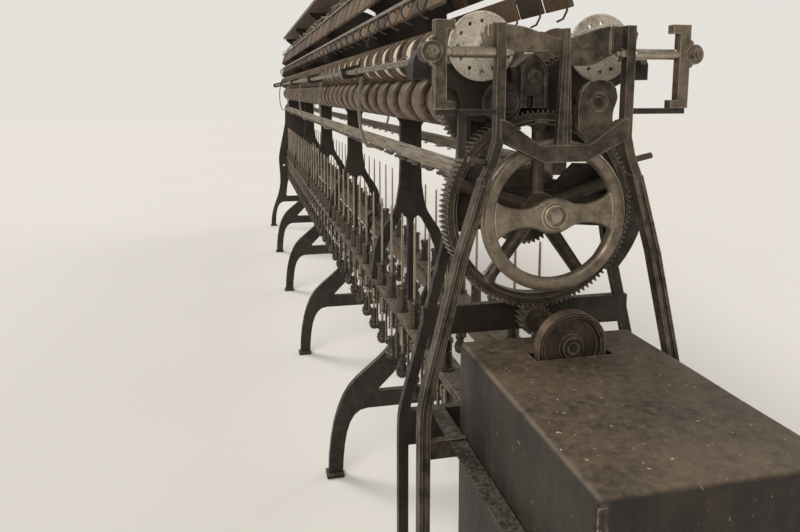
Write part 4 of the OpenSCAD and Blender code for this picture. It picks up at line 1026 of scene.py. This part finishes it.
def motor_paint(name):
    """Dark enamel, dusty and chipped."""
    material, at = blank(name)
    cloud = at.noise(12.0, 5.0, 0.6)
    chips = at.noise(90.0, 5.0, 0.7)
    tone = cloud.step(0.35, 0.65).mix((0.022, 0.020, 0.017), (0.055, 0.048, 0.040))
    tone = chips.step(0.62, 0.68).mix(tone, (0.17, 0.13, 0.10))
    finish(tone, (0.35 + 0.3 * cloud).clamp(), 0.1, chips, 0.0004)
    return material


low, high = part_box("guard_box")
belt_low, belt_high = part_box("drive_belt")
SLOT_PLAY, SLOT_HALF, LIP_END, RIVET_IN = 0.008, 0.070, 0.012, 0.028
cover = sheet_cover(low, high, (belt_low.y - SLOT_PLAY, belt_high.y + SLOT_PLAY), SLOT_HALF)
lip = block((low.x + 0.0015, low.y, LIP_END), (low.x + 0.013, low.y + 0.0018, high.z - LIP_END),
            0.0005, segments=1)
rivets = [turned([(0.0050, 0.0015), (0.0048, 0.0006), (0.0034, 0), (0, -0.0001)], (x, low.y + 0.0001, z),
                 steps=10, axis=(0, 1, 0))
          for x in (low.x + RIVET_IN, high.x - RIVET_IN) for z in (0.10, 0.45, high.z - 0.06)]
guard = settle(joined(cover, lip, *rivets), "guard_cover", rusted_sheet("rusted_sheet"), smooth=40)
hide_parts("guard_box")
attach(guard, "frame")
dress(motor_paint("motor_paint"), "motor_paint", "drive_motor")

# -------------------------------------------------------- floor, light, camera
# A plain pale studio with soft lamps, seen from a low stand beside the head,
# looking along the left side of the machine.

bpy.ops.mesh.primitive_plane_add(size=60, location=(0, 0, 0))
floor = bpy.context.object
floor.name = "studio_floor"
material, at = blank("studio_floor")
finish(at.noise(0.6, 2.0).mix((0.70, 0.68, 0.648), (0.73, 0.71, 0.678)), 0.9)
floor.data.materials.append(material)
floor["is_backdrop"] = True


def soft_sun(name, place, power, spread, tone):
    """An even, soft light from the side where it stands."""
    bpy.ops.object.light_add(type="SUN", location=place)
    lamp = bpy.context.object
    lamp.name = name
    lamp.data.energy = power
    lamp.data.angle = math.radians(spread)
    lamp.data.color = tone
    lamp.rotation_mode = "QUATERNION"
    lamp.rotation_quaternion = (-Vector(place)).to_track_quat("-Z", "Y")
    lamp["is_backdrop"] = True


soft_sun("windows_behind", (-3.0, 3.2, 3.8), 1.7, 25, (1.0, 0.97, 0.92))
soft_sun("soft_front", (-2.6, -4.2, 2.4), 1.7, 45, (1.0, 0.96, 0.90))
soft_sun("windows_right", (4.0, 1.0, 2.6), 0.7, 45, (1.0, 0.97, 0.93))

world = bpy.data.worlds.new("studio")
bpy.context.scene.world = world
world.use_nodes = True
sky = Wire(world.node_tree)
background = next(n for n in world.node_tree.nodes if n.type == "BACKGROUND")
seen = sky.node("LightPath", out=0)
tone = seen.mix((0.40, 0.385, 0.36), (0.78, 0.755, 0.71))
world.node_tree.links.new(tone.socket, background.inputs["Color"])
background.inputs["Strength"].default_value = 1.0

LOOK_DOWN, LOOK_RIGHT = 8.170, 12.749
turn = (math.radians(90 - LOOK_DOWN), 0, math.radians(-LOOK_RIGHT))
bpy.ops.object.camera_add(location=(-0.540, -3.757, 1.300), rotation=turn)
camera = bpy.context.object
camera.data.lens = 31.5
camera.data.sensor_width = 36
camera.data.shift_y = -0.0925
camera.data.clip_start = 0.05
bpy.context.scene.camera = camera
bpy.context.scene.view_settings.view_transform = "Standard"

low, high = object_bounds()
